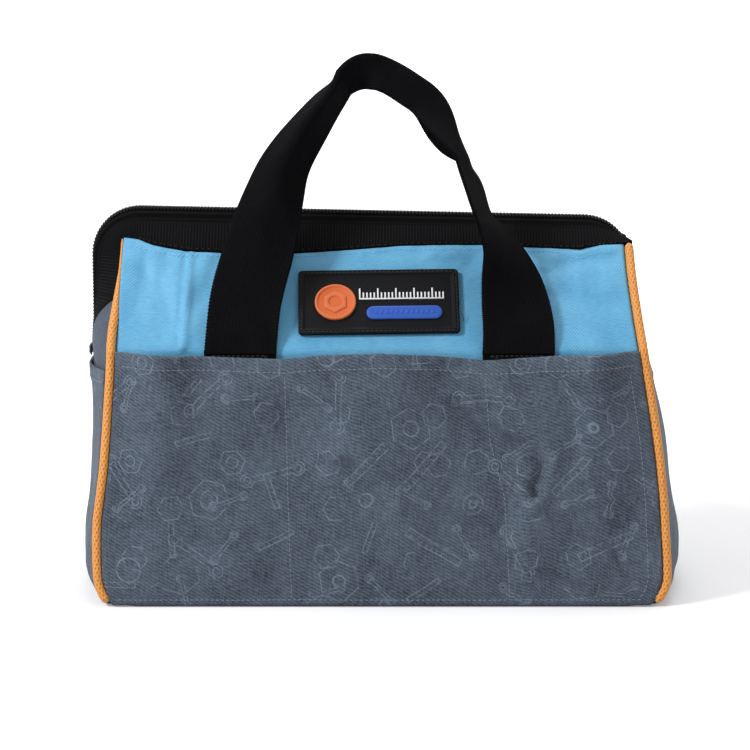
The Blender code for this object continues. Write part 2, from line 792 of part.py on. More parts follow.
def place_on_slider(obj, up=0):
    """Puts obj on the closed zip at the slider, with its Z turned from along the zip to where it is now."""
    tilt = ridge_tilt()
    obj.location = (SLIDER_X + up * math.sin(tilt), 0, slider_height() + up * math.cos(tilt))
    obj.rotation_euler = (math.pi / 2, 0, math.pi / 2)
    turned = Matrix.Rotation(tilt, 4, "Y") @ obj.rotation_euler.to_matrix().to_4x4()
    obj.rotation_euler = turned.to_euler()


def build_slider(shop, axis):
    """A saddle over the coil: a roof, two flanges and a bridge for the pull."""
    inner = COIL_HALF_WIDTH + SLIDER_CLEARANCE
    outer = inner + SLIDER_WALL
    under = COIL_HEIGHT / 2 + SLIDER_CLEARANCE
    foot = SLIDER_CLEARANCE - COIL_HEIGHT / 2
    top = roof_height()
    half = [
        (inner, under),
        (inner, foot),
        (outer, foot),
        (outer, top - SLIDER_CHAMFER),
        (outer - SLIDER_CHAMFER, top),
    ]
    outline = half + [(-y, z) for y, z in reversed(half)]
    saddle = shop.plate("slider_saddle", outline, 0, SLIDER_LENGTH, "dark_metal")
    place_on_slider(saddle)
    slider = meshed(shop, saddle)
    slider.name = "zip_slider"
    reach = BRIDGE_SPAN / 2
    sunk = roof_height() - SLIDER_ROOF / 2
    corner = BRIDGE_RADIUS
    local = [
        (-reach, sunk),
        (-reach, bar_height() - corner),
        (-reach + corner, bar_height()),
        (reach - corner, bar_height()),
        (reach, bar_height() - corner),
        (reach, sunk),
    ]
    tilt = Matrix.Rotation(ridge_tilt(), 4, "Y")
    middle = Vector((SLIDER_X, 0, slider_height()))
    points = [middle + tilt @ Vector((x, 0, z)) for x, z in local]
    bridge = meshed(shop, shop.tube("slider_bridge", points, BRIDGE_RADIUS, "dark_metal"))
    use_cutter(shop, slider, bridge, "UNION")
    shop.hang(slider, axis)
    return middle + tilt @ Vector((0, 0, bar_height()))


def build_pull(shop, axis, pivot):
    """A flat pull whose rolled eye turns on the bridge's bar and which rests on the slider's front edge."""
    inner = BRIDGE_RADIUS + PULL_EYE_CLEARANCE
    outer = inner + PULL_EYE_WALL
    eye_curve = shop.plate("pull_eye", circle(outer), 0, PULL_EYE_LENGTH, "dark_metal")
    hole = eye_curve.data.splines.new("POLY")
    ring = circle(inner)
    hole.points.add(len(ring) - 1)
    for control, (x, y) in zip(hole.points, ring):
        control.co = (x, y, 0, 1)
    hole.use_cyclic_u = True
    tilt = Matrix.Rotation(ridge_tilt(), 4, "Y")
    eye_curve.location = pivot
    eye_curve.rotation_euler = (tilt @ Matrix.Rotation(math.pi / 2, 4, "Y")).to_euler()
    eye = meshed(shop, eye_curve)
    reach = PULL_LENGTH - inner
    neck = inner + PULL_EYE_WALL / 2 + reach / 2
    blade_outline = [(x, y - neck) for x, y in rounded_rectangle(PULL_WIDTH, reach, PULL_CORNER)]
    blade_curve = shop.plate("pull_blade", blade_outline, 0, PULL_THICKNESS, "dark_metal")
    turn = tilt @ Matrix.Rotation(math.radians(PULL_LEAN_DEG - QUARTER_DEG), 4, "X")
    blade_curve.location = pivot
    blade_curve.rotation_euler = turn.to_euler()
    blade = meshed(shop, blade_curve)
    blade.name = "zip_pull"
    use_cutter(shop, blade, eye, "UNION")
    shop.hang(blade, axis)


# Badge


def place_on_upper_panel(obj, x, slope, out):
    """Lays obj, whose Z faces outwards, on the front upper panel."""
    top_y, top_z = tape_top()
    lean = math.atan2(POCKET_LINE_DEPTH / 2 - top_y, top_z - POCKET_LINE_HEIGHT)
    up = Vector((0, math.sin(lean), math.cos(lean)))
    normal = Vector((0, -math.cos(lean), math.sin(lean)))
    middle = Vector((x, -wall_y(BADGE_CENTRE_HEIGHT), BADGE_CENTRE_HEIGHT))
    obj.location = middle + up * slope + normal * (FABRIC / 2 + GAP + out)
    obj.rotation_euler = (math.pi / 2 - lean, 0, 0)


def build_badge(shop, axis):
    """A moulded rubber badge with a raised rim, a disc and a bar."""
    outline = rounded_rectangle(BADGE_WIDTH, BADGE_HEIGHT, BADGE_CORNER)
    plate = shop.plate("badge_plate_curve", outline, 0, BADGE_THICKNESS, "black_rubber", BADGE_EDGE_BEVEL)
    place_on_upper_panel(plate, BADGE_CENTRE_X, 0, BADGE_THICKNESS / 2)
    plate = meshed(shop, plate)
    plate.name = "badge_plate"
    inner = rounded_rectangle(BADGE_WIDTH - 2 * BADGE_RIM, BADGE_HEIGHT - 2 * BADGE_RIM, BADGE_CORNER / 2)
    recess = shop.plate("badge_recess", inner, 0, 2 * BADGE_RECESS, "black_rubber")
    place_on_upper_panel(recess, BADGE_CENTRE_X, 0, BADGE_THICKNESS)
    use_cutter(shop, plate, meshed(shop, recess), "DIFFERENCE")
    shop.hang(plate, axis)
    floor = BADGE_THICKNESS - BADGE_RECESS + GAP
    bar_outline = rounded_rectangle(BAR_LENGTH, BAR_WIDTH, BAR_WIDTH / 2 - WELD)
    bar = shop.plate("badge_bar", bar_outline, 0, BAR_HEIGHT, "blue_rubber")
    place_on_upper_panel(bar, BADGE_CENTRE_X + BAR_X, -BAR_DROP, floor + BAR_HEIGHT / 2)
    shop.hang(bar, axis)
    profile = bpy.data.meshes.new("badge_disc")
    inner_radius, dished = DISC_RADIUS - DISC_RING, DISC_HEIGHT - BADGE_RECESS / 2
    corners = [
        (0, dished),
        (inner_radius, dished),
        (inner_radius, DISC_HEIGHT),
        (DISC_RADIUS, DISC_HEIGHT),
        (DISC_RADIUS, 0),
        (0, 0),
    ]
    profile.from_pydata([(r, 0, z) for r, z in corners], [(i, i + 1) for i in range(len(corners) - 1)], [])
    disc = shop.add("badge_disc", profile, "orange_rubber")
    screw = disc.modifiers.new("turn", "SCREW")
    screw.steps = screw.render_steps = DISC_STEPS
    screw.use_merge_vertices = True
    screw.merge_threshold = WELD
    place_on_upper_panel(disc, BADGE_CENTRE_X + DISC_X, 0, floor)
    shop.hang(disc, axis)


def build_mouth(shop, face):
    """One half of the mouth, on an empty at the axis that it swings about."""
    axis = shop.axis(f"{FACE_NAMES[face]}_mouth_axis", mouth_axis(face))
    build_upper_panel(shop, face, axis)
    for end in (LEFT, RIGHT):
        build_upper_end(shop, face, end, axis)
    build_mouth_rim(shop, face, axis)
    build_coil(shop, face, axis)
    return axis


def main():
    shop = Workshop()
    build_base(shop)
    for face in (FRONT, BACK):
        build_face(shop, face)
        for end in (LEFT, RIGHT):
            build_lower_piping(shop, face, end)
            build_anchor(shop, face, end)
    for end in (LEFT, RIGHT):
        build_end(shop, end)
    front_axis = build_mouth(shop, FRONT)
    build_mouth(shop, BACK)
    build_badge(shop, front_axis)
    front_handle_axis = shop.axis("front_handle_axis", mouth_axis(FRONT), front_axis)
    build_handle(shop, FRONT, front_handle_axis, 0, 1, 0)
    back_handle_axis = shop.axis("back_handle_axis", mouth_axis(BACK))
    build_handle(shop, BACK, back_handle_axis, BACK_HANDLE_FALL_DEG, BACK_TWIST_SHARE, BACK_HANDLE_BEND_DEG)
    slider_axis = shop.axis("zip_slider_axis", (SLIDER_X, 0, slider_height()), front_axis)
    pivot = build_slider(shop, slider_axis)
    pull_axis = shop.axis("zip_pull_axis", pivot, slider_axis)
    build_pull(shop, pull_axis, pivot)


main()
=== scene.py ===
"""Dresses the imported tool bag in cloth, webbing, piping, rubber and zip, as the photograph shows it.

Metres, +Z up, front towards -Y. The surfaces follow the formulas of the part's source, so each piece
lies where its solid does, apart from the bows, folds and wrinkles of the filled bag.
"""

import logging
import math
from dataclasses import dataclass, field
from enum import Enum
from typing import Callable, Sequence

import bmesh
import bpy
import numpy as np
from mathutils import Matrix, Vector, noise


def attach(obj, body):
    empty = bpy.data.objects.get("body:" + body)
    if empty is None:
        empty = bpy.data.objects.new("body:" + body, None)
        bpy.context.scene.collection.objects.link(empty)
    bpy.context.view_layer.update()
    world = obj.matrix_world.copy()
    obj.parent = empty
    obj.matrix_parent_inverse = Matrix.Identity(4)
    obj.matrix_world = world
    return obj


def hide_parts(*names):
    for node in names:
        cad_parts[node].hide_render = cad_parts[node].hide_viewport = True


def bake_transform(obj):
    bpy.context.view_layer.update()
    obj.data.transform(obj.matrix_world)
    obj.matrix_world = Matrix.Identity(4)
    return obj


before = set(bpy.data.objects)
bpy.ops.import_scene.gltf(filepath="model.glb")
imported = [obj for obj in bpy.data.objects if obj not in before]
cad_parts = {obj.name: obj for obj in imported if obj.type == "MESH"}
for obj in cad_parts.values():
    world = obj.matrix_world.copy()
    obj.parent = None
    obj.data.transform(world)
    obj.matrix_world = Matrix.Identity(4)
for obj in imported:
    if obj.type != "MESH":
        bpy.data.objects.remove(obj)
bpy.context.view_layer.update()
LOG = logging.getLogger("tool_bag")

MM = 0.001
WEAVE_MAP = "weave"
# How proud each point stands; the ribbed cloths and the cord paint their low points darker with it, as
# painted shade
RELIEF = "relief"
BADGE_X = -1.5 * MM
# The zip's line: up one end, round a corner, along the ridge, round a corner and down the other end
ZIP_PARTS = 5

# A surface by its shares across and up, a point with the normal there, and points of a line in millimetres
Place = Callable[[float, float], Vector]
Spot = tuple[Vector, Vector]
Pair = tuple[float, float]
Line = tuple[Pair, ...]
Colour = tuple[float, float, float]
Piece = bpy.types.Object
Finish = bpy.types.Material
Socket = bpy.types.NodeSocket


class Face(Enum):
    """The two long walls."""

    FRONT = -1
    BACK = 1


class End(Enum):
    """The two end walls, as seen from the front."""

    LEFT = -1
    RIGHT = 1


class Weave(Enum):
    """How the threads of a cloth cross."""

    TWILL = "twill"
    PLAIN = "plain"
    WEBBING = "webbing"


def label(*sides: Face | End) -> str:
    """The words for one or two sides in a piece's name."""
    return "_".join(side.name.lower() for side in sides)


def mix(low: float, high: float, share: float) -> float:
    """The value that lies the given share of the way from low to high."""
    return low + (high - low) * share


def clamp(value: float) -> float:
    """The value held between 0 and 1."""
    return min(1.0, max(0.0, value))


def ease(value: float) -> float:
    """A smooth rise from 0 to 1 as value goes from 0 to 1."""
    held = clamp(value)
    return held * held * (3 - 2 * held)


def bump(share: float, middle: float, half_width: float) -> float:
    """A smooth rise from 0 to 1 and back, centred on middle."""
    distance = abs(share - middle) / half_width
    return math.cos(distance * math.pi / 2) ** 2 if distance < 1 else 0.0


def hill(value: float, middle: float, width: float) -> float:
    """A bell-shaped rise to 1 at the middle."""
    return math.exp(-(((value - middle) / width) ** 2))


@dataclass(frozen=True)
class Rise:
    """A smooth rise from 0 to 1, by the place where it starts and its length, both in millimetres."""

    start: float
    length: float

    def at(self, value: float) -> float:
        """How far the rise has come at a place in metres."""
        return ease((value - self.start * MM) / (self.length * MM))


def crumple(point: Vector, size: float, height: float) -> float:
    """A soft random rise and fall of the given height over waves of the given size."""
    return height * noise.noise(point / size)


def along_line(line: Sequence[Pair], value: float) -> float:
    """Reads a line of (place, value) points, in rising order of place, at one place.

    Args:
        line: The points.
        value: The place.

    Returns:
        The value there.
    """
    for (low, first), (high, second) in zip(line, line[1:]):
        if value <= high:
            return mix(first, second, clamp((value - low) / (high - low)))
    return line[-1][1]


# The bag's surfaces


@dataclass(frozen=True)
class BagShape:
    """The bag's main sizes in metres and the surfaces that they give."""

    fabric: float = 1.8 * MM
    gap: float = 0.3 * MM
    piping_radius: float = 2.4 * MM
    piping_outset: float = 1.0 * MM
    base_width: float = 305 * MM
    base_depth: float = 182 * MM
    base_turn: float = 8 * MM
    base_turn_height: float = 16 * MM
    base_corner: float = 6 * MM
    line_height: float = 131 * MM
    line_width: float = 279 * MM
    line_depth: float = 120 * MM
    upper_shift: float = -2.5 * MM
    gusset_bulge: float = 12.5 * MM
    gusset_widening: float = 20 * MM
    side_pocket_height: float = 121 * MM
    mouth_left: float = -158.5 * MM
    mouth_right: float = 137 * MM
    mouth_corner: float = 26 * MM
    axis_outset: float = 3 * MM
    ridge_height: float = 202.7 * MM
    ridge_drop: float = 5 * MM
    band_edge: float = 181.5 * MM
    band_lap: float = 0.9 * MM
    side_band: float = 11 * MM
    side_band_top: float = 44 * MM
    side_band_rise: float = 33 * MM
    tape_width: float = 4.4 * MM
    tape_thickness: float = 1.0 * MM
    coil_height: float = 2.6 * MM
    coil_half_width: float = 2.6 * MM
    left_bow: Line = (
        (0, 0), (13, 0.3), (24, 1.8), (34, 2.7), (44, 3.3), (54, 2.9), (70, 2.2), (90, 2.4), (112, 2.9),
        (126, 3.3), (134, 3.8), (142, 3.6), (156, 2.0), (171, 0.2), (182, 0),
    )
    right_bow: Line = (
        (0, 0), (8, 1.3), (13, 1.7), (24, 2.9), (39, 3.9), (54, 5.0), (75, 5.6), (96, 5.4), (116, 4.7),
        (132, 4.0), (146, 2.4), (161, 1.0), (171, 0.3), (182, 0),
    )

    def bow(self, end: End, z: float) -> float:
        """How far the filled bag pushes a corner seam out from its plain line."""
        line = self.left_bow if end is End.LEFT else self.right_bow
        return along_line(line, z / MM) * MM

    def plain_seam_x(self, end: End, z: float) -> float:
        """Where the piping's middle would run on the corner seam of an even bag.

        Args:
            end: Which end of the bag.
            z: Height, in metres.

        Returns:
            Its x.
        """
        if z > self.line_height:
            return self.upper_shift + end.value * (self.line_width / 2 - self.piping_radius)
        share = z / self.line_height
        turn = self.base_turn * max(0, 1 - z / self.base_turn_height) ** 2
        half = mix(self.base_width, self.line_width, share) / 2
        return self.upper_shift * share + end.value * (half - self.piping_radius - turn)

    def seam_x(self, end: End, z: float) -> float:
        """Where the piping's middle runs on the corner seam of one end."""
        return self.plain_seam_x(end, z) + end.value * self.bow(end, z)

    def tape_top(self) -> Pair:
        """Distance from the middle plane, and height, of the zip tape's upper edge on the ridge.

        Returns:
            Both distances, in metres.
        """
        drop = self.coil_height / 2 + self.gap + self.tape_thickness / 2
        across = self.coil_half_width + self.gap + self.tape_thickness / 2
        return across, self.ridge_height - drop

    def wall_slope(self, z: float) -> float:
        """How far the front and back walls lean in for each unit of height.

        Args:
            z: Height, in metres.

        Returns:
            The slope.
        """
        if z <= self.line_height:
            foot = self.base_depth / 2 - self.fabric * 3 / 2 - self.gap
            return (foot - self.line_depth / 2) / self.line_height
        top_y, top_z = self.tape_top()
        return (self.line_depth / 2 - top_y) / (top_z - self.line_height)

    def wall_y(self, z: float) -> float:
        """Distance of the inner front and back walls' middle surface from the middle plane."""
        return self.line_depth / 2 + (self.line_height - z) * self.wall_slope(z)

    def wall_foot(self) -> float:
        """Height of the lower edge of the walls, on the base."""
        return self.fabric + 3 * self.gap

    def wall_top(self) -> float:
        """Height of the upper edge of what stays still when the mouth opens."""
        return self.line_height - self.gap

    def zip_x(self, end: End) -> float:
        """Where the zip runs down one end."""
        return self.mouth_left if end is End.LEFT else self.mouth_right

    def gusset_x(self, end: End, y: float, z: float) -> float:
        """The middle surface of an end panel, which swells out between its two seams.

        Args:
            end: Which end of the bag.
            y: Place from front to back, in metres.
            z: Height, in metres.

        Returns:
            Its x.
        """
        top_bulge = end.value * (self.zip_x(end) - self.plain_seam_x(end, self.line_height))
        share = min(1.0, z / self.line_height) ** 4
        bulge = mix(self.gusset_bulge, top_bulge, share) - self.bow(end, z)
        width = mix(self.wall_y(z), self.gusset_reach(z), ease((z - self.line_height) / self.gusset_widening))
        return self.seam_x(end, z) + end.value * bulge * max(0.0, 1 - (y / width) ** 2)

    def gusset_reach(self, z: float) -> float:
        """Distance of an end panel's side edge from the middle plane, beside the piping."""
        across = (self.piping_radius + self.gap) * math.hypot(1, self.wall_slope(z))
        return self.wall_y(z) + self.piping_outset - across

    def panel_x(self, u: float, z: float) -> float:
        """X at share u of the way between the two corner pipings.

        Args:
            u: Share across.
            z: Height, in metres.

        Returns:
            The x.
        """
        turn = 2 * self.base_turn / self.base_turn_height * max(0, 1 - z / self.base_turn_height)
        inset = (self.piping_radius + self.gap) * math.hypot(1, turn)
        return mix(self.seam_x(End.LEFT, z) + inset, self.seam_x(End.RIGHT, z) - inset, u)

    def corner_height(self, end: End) -> float:
        """Height of the middle of the zip's round corner at one end."""
        drop = self.ridge_drop if end is End.RIGHT else 0
        return self.ridge_height - self.mouth_corner - drop

    def corner_x(self, end: End) -> float:
        """X of the middle of the zip's round corner at one end."""
        return self.zip_x(end) - end.value * self.mouth_corner

    def side_band_y(self, z: float) -> float:
        """How far from the middle plane the mouth band's edge runs on an end panel."""
        share = clamp((z - self.line_height) / self.side_band_rise)
        return min(mix(self.side_band, self.side_band_top, share), self.gusset_reach(z) + self.band_lap)

    def zip_path(self, walk: float, foot: float) -> tuple[float, float, float, float]:
        """Follows the closed zip from its left foot to its right one.

        Args:
            walk: 0 at the left foot to ZIP_PARTS at the right one, with a whole number at each joint.
            foot: Height of both feet.

        Returns:
            X and Z of the zip's line, and X and Z of its outward normal.
        """
        part = min(ZIP_PARTS - 1, int(walk))
        share = walk - part
        if part in (0, 4):
            end = End.LEFT if part == 0 else End.RIGHT
            climb = share if end is End.LEFT else 1 - share
            return self.zip_x(end), mix(foot, self.corner_height(end), climb), end.value, 0.0
        if part == 2:
            z = mix(self.ridge_height, self.ridge_height - self.ridge_drop, share)
            return mix(self.corner_x(End.LEFT), self.corner_x(End.RIGHT), share), z, 0.0, 1.0
        end = End.LEFT if part == 1 else End.RIGHT
        angle = (share if end is End.LEFT else 1 - share) * math.pi / 2
        across, up = end.value * math.cos(angle), math.sin(angle)
        x = self.corner_x(end) + across * self.mouth_corner
        return x, self.corner_height(end) + up * self.mouth_corner, across, up

    def rim_top(self, walk: float, foot: float) -> Vector:
        """The zip tape's upper edge on the front half, beside the teeth.

        Args:
            walk: Place along the zip, as zip_path takes it.
            foot: Height of the zip's two feet.

        Returns:
            The point.
        """
        x, z, normal_x, normal_z = self.zip_path(walk, foot)
        drop = (self.ridge_height - self.tape_top()[1]) * normal_z
        return Vector((x - normal_x * drop, -self.tape_top()[0], z - normal_z * drop))

    def edge_height(self, x: float) -> float:
        """Height of the mouth band's lower edge, where the cloth pulls it up and down."""
        return along_line(BAND_WAVE, x / MM) * MM

    def rim_edge(self, walk: float, foot: float) -> Vector:
        """The mouth band's lower edge on the front half.

        Args:
            walk: Place along the zip, as zip_path takes it.
            foot: Height of the zip's two feet.

        Returns:
            The point.
        """
        part = min(ZIP_PARTS - 1, int(walk))
        share = walk - part
        if part in (0, 4):
            end = End.LEFT if part == 0 else End.RIGHT
            z = self.zip_path(walk, foot)[1]
            y = -self.side_band_y(z)
            return Vector((self.gusset_x(end, y, z), y, z))
        if part == 2:
            x = self.zip_path(walk, foot)[0]
            z = self.edge_height(x)
            return Vector((x, -self.wall_y(z), z))
        end = End.LEFT if part == 1 else End.RIGHT
        climb = share if end is End.LEFT else 1 - share
        z = self.corner_height(end)
        side = -self.side_band_y(z)
        low = Vector((self.gusset_x(end, side, z), side, z))
        half = self.fabric / 2
        knee_z = self.edge_height(self.seam_x(end, self.band_edge))
        knee_x = self.seam_x(end, self.band_edge) + 2 * end.value * half
        knee = Vector((knee_x, half - self.wall_y(knee_z), knee_z + half))
        top_z = self.edge_height(self.corner_x(end))
        top = Vector((self.corner_x(end), -self.wall_y(top_z), top_z))
        if climb < 0.5:
            return low.lerp(knee, climb * 2)
        return knee.lerp(top, climb * 2 - 1)

    def piping_point(self, face: Face, end: End, z: float) -> Vector:
        """The middle of the piping on one corner seam, at one height."""
        return Vector((self.seam_x(end, z), face.value * (self.wall_y(z) + self.piping_outset), z))

    def mouth_axis(self) -> Vector:
        """A point on the front axis, over which the mouth's front half and the handle fold."""
        y = self.wall_y(self.wall_top()) + self.fabric + self.gap + self.axis_outset
        return Vector((0, -y, self.wall_top() - self.gap))


# The height of the mouth band's lower edge along the front, in millimetres
BAND_WAVE = (
    (-141, 186), (-133, 186), (-124, 183), (-115, 181.5), (-105, 179.9), (-80, 179.0), (-45, 179.0),
    (-12, 181), (10, 182.8), (54, 183.2), (94, 181.4), (108, 181), (119, 184.6), (131, 184.6), (138, 182.5),
)
BAG = BagShape()


def facing(face: Face, point: Vector) -> Vector:
    """A point of the front half, or its mirror image on the back half."""
    return Vector((point.x, -face.value * point.y, point.z))


# Finishes


class Sketch:
    """Adds nodes to one new material and joins them."""

    def __init__(self, name: str, roughness: float, metallic: float = 0.0) -> None:
        """Starts a material with a plain Principled shader.

        Args:
            name: Its name.
            roughness: How rough it is.
            metallic: Whether it is metal.
        """
        self.material = bpy.data.materials.new(name)
        self.material.use_nodes = True
        self.tree = self.material.node_tree
        self.shader = self.tree.nodes["Principled BSDF"]
        self.feed(self.shader.inputs["Roughness"], roughness)
        self.feed(self.shader.inputs["Metallic"], metallic)

    def feed(self, socket: Socket, value: Socket | float | Sequence[float]) -> None:
        """Joins a socket to another, or sets its value.

        Args:
            socket: The input.
            value: Another socket, or a value.
        """
        if isinstance(value, bpy.types.NodeSocket):
            self.tree.links.new(value, socket)
        else:
            socket.default_value = value

    def node(self, kind: str, inputs: dict, **settings) -> bpy.types.Node:
        """Adds a node.

        Args:
            kind: The node's type, without its common start.
            inputs: Values or sockets for its inputs, by name or number.
            settings: Its own options.

        Returns:
            The node.
        """
        node = self.tree.nodes.new("ShaderNode" + kind)
        for name, value in settings.items():
            setattr(node, name, value)
        for name, value in inputs.items():
            self.feed(node.inputs[name], value)
        return node

    def maths(self, operation: str, first: Socket | float, second: Socket | float = 0.0) -> Socket:
        """The result of one step of arithmetic."""
        return self.node("Math", {0: first, 1: second}, operation=operation).outputs[0]

    def plus(self, first: Socket | float, second: Socket | float) -> Socket:
        """The sum of two values."""
        return self.maths("ADD", first, second)

    def minus(self, first: Socket | float, second: Socket | float) -> Socket:
        """The first value less the second."""
        return self.maths("SUBTRACT", first, second)

    def times(self, first: Socket | float, second: Socket | float) -> Socket:
        """The product of two values."""
        return self.maths("MULTIPLY", first, second)

    def scaled(self, value: Socket, factor: float, shift: float) -> Socket:
        """A value times a factor, moved by a shift."""
        return self.node("Math", {0: value, 1: factor, 2: shift}, operation="MULTIPLY_ADD").outputs[0]

    def pick(self, share: Socket, low: Socket, high: Socket) -> Socket:
        """The first of two values where share is 0, and the second where it is 1."""
        return self.node("Mix", {0: share, 2: low, 3: high}).outputs[0]

    def line(self, value: Socket, low: float, high: float) -> Socket:
        """Goes smoothly from 1 below low to 0 above high."""
        inputs = {"Value": value, "From Min": low, "From Max": high, "To Min": 1.0, "To Max": 0.0}
        return self.node("MapRange", inputs, interpolation_type="SMOOTHSTEP").outputs[0]

    def wave(self, value: Socket, pitch: float) -> Socket:
        """A sine between 0 and 1 that repeats at each pitch."""
        turned = self.maths("SINE", self.times(value, 2 * math.pi / pitch))
        return self.scaled(turned, 0.5, 0.5)

    def blot(self, place: Socket, scales: Colour, detail: float = 2.0) -> Socket:
        """Noise between 0 and 1, stretched by its own scale along each axis.

        Args:
            place: The point on the flat cloth.
            scales: Waves per metre along each axis.
            detail: How many finer waves it holds.

        Returns:
            The result.
        """
        scaled = self.node("VectorMath", {0: place, 1: scales}, operation="MULTIPLY").outputs[0]
        inputs = {"Vector": scaled, "Scale": 1.0, "Detail": detail}
        return self.node("TexNoise", inputs).outputs[0]

    def blend(self, share: Socket | float, low: Socket | Colour, high: Socket | Colour) -> Socket:
        """A colour that lies between two others.

        Args:
            share: How far it lies from the first to the second.
            low: The first.
            high: The second.

        Returns:
            The result.
        """
        node = self.node("Mix", {0: share}, data_type="RGBA")
        for socket, colour in ((node.inputs[6], low), (node.inputs[7], high)):
            self.feed(socket, (*colour, 1.0) if isinstance(colour, tuple) else colour)
        return node.outputs[2]

    def relief(self, height: Socket, depth: float, below: Socket | None = None) -> Socket:
        """A bump of the given depth in metres, over another one if there is one.

        Args:
            height: The height, from 0 to 1.
            depth: How deep it is, in metres.
            below: The other bump.

        Returns:
            The result.
        """
        inputs = {"Strength": 1.0, "Distance": depth, "Height": height}
        if below:
            inputs["Normal"] = below
        return self.node("Bump", inputs).outputs[0]

    def weave_place(self) -> Socket:
        """Where a point lies on the flat cloth, in metres."""
        return self.node("UVMap", {}, uv_map=WEAVE_MAP).outputs[0]

    def object_place(self) -> Socket:
        """Where a point lies in the bag, in metres."""
        return self.node("TexCoord", {}).outputs["Object"]

    def stored(self) -> Socket:
        """How proud a point of a braid, coil or ribbed cloth stands, between 0 and 1, which the materials
        turn into painted shade on its low points.
        """
        return self.node("Attribute", {}, attribute_name=RELIEF).outputs["Fac"]

    def finish(self, colour: Socket, normal: Socket, specular: float = 0.5) -> Finish:
        """Gives the shader its colour and surface, and returns the material.

        Args:
            colour: Its colour.
            normal: Its bumps.
            specular: How much it mirrors.

        Returns:
            The material.
        """
        self.feed(self.shader.inputs["Base Color"], colour)
        self.feed(self.shader.inputs["Normal"], normal)
        self.feed(self.shader.inputs["Specular IOR Level"], specular)
        return self.material


def ring_line(sketch: Sketch, distance: Socket, low: float = 0.16 * MM, high: float = 0.42 * MM) -> Socket:
    """1 on a thin line where a distance is 0, fading to 0 beside it."""
    return sketch.line(sketch.maths("ABSOLUTE", distance), low, high)


@dataclass(frozen=True)
class ShopPrint:
    """Line drawings of nuts, washers, spanners and rulers, one in each cell of cloth, turned at random.

    Sizes are shares of a cell, and a chance says from which random value on a drawing is picked.
    """

    cell: float
    shift: float
    scatter: float = 0.55
    hexagon: Pair = (0.866, 0.5)
    nut: float = 0.23
    washer: float = 0.22
    hole: float = 0.12
    shaft: Pair = (0.3, 0.035)
    jaw: float = 0.32
    jaw_radius: float = 0.085
    jaw_hole: float = 0.045
    ruler: Pair = (0.38, 0.05)
    washer_chance: float = 0.3
    long_chance: float = 0.52
    ruler_chance: float = 0.82
    tick_pitch: float = 3.1 * MM
    tick_crest: float = 0.93
    tick_foot: float = 0.2 * MM

    def bar(self, sketch: Sketch, across: Socket, up: Socket, half: Pair) -> Socket:
        """Distance from the edge of a bar with the given half length and half width."""
        sides = sketch.minus(across, self.cell * half[0]), sketch.minus(up, self.cell * half[1])
        return sketch.maths("MAXIMUM", *sides)

    def lines(self, sketch: Sketch, place: Socket) -> Socket:
        """Draws the print.

        Args:
            sketch: The material that gets the nodes.
            place: The point on the flat cloth.

        Returns:
            1 on a printed line and 0 off it.
        """
        shift = (self.shift, self.shift / 2, 0)
        moved = sketch.node("VectorMath", {0: place, 1: shift}, operation="ADD").outputs[0]
        inputs = {"Vector": moved, "Scale": 1 / self.cell, "Randomness": self.scatter}
        cells = sketch.node("TexVoronoi", inputs)
        local = sketch.node("VectorMath", {0: moved, 1: cells.outputs["Position"]}, operation="SUBTRACT")
        chance = sketch.node("SeparateColor", {0: cells.outputs["Color"]})
        angle = sketch.times(chance.outputs[0], 2 * math.pi)
        turned = sketch.node("VectorRotate", {"Vector": local.outputs[0], "Angle": angle})
        split = sketch.node("SeparateXYZ", {0: turned.outputs[0]})
        across = sketch.maths("ABSOLUTE", split.outputs[0])
        up = sketch.maths("ABSOLUTE", split.outputs[1])
        away = sketch.node("VectorMath", {0: local.outputs[0]}, operation="LENGTH").outputs["Value"]

        slanted = sketch.plus(sketch.times(across, self.hexagon[0]), sketch.times(up, self.hexagon[1]))
        nut = sketch.minus(sketch.maths("MAXIMUM", slanted, up), self.cell * self.nut)
        hole = sketch.minus(away, self.cell * self.hole)
        washer = sketch.minus(away, self.cell * self.washer)
        jaw = sketch.node("CombineXYZ", {0: sketch.minus(across, self.cell * self.jaw), 1: up})
        jaw_away = sketch.node("VectorMath", {0: jaw.outputs[0]}, operation="LENGTH").outputs["Value"]
        shaft = self.bar(sketch, across, up, self.shaft)
        spanner = sketch.maths("MINIMUM", shaft, sketch.minus(jaw_away, self.cell * self.jaw_radius))
        ruler = self.bar(sketch, across, up, self.ruler)

        is_nut = sketch.maths("LESS_THAN", chance.outputs[1], self.washer_chance)
        is_long = sketch.maths("GREATER_THAN", chance.outputs[1], self.long_chance)
        is_ruler = sketch.maths("GREATER_THAN", chance.outputs[1], self.ruler_chance)
        outline = sketch.pick(is_nut, washer, nut)
        outline = sketch.pick(is_long, outline, spanner)
        outline = sketch.pick(is_ruler, outline, ruler)
        inner = sketch.pick(is_long, hole, sketch.minus(jaw_away, self.cell * self.jaw_hole))
        ring = sketch.times(ring_line(sketch, inner), sketch.minus(1.0, is_ruler))
        tick = sketch.maths("GREATER_THAN", sketch.wave(split.outputs[0], self.tick_pitch), self.tick_crest)
        inside = sketch.maths("LESS_THAN", ruler, 0.0)
        upper = sketch.times(inside, sketch.maths("GREATER_THAN", split.outputs[1], self.tick_foot))
        ticks = sketch.times(sketch.times(tick, upper), is_ruler)
        drawn = sketch.maths("MAXIMUM", ring_line(sketch, outline), ring)
        return sketch.maths("MAXIMUM", drawn, ticks)


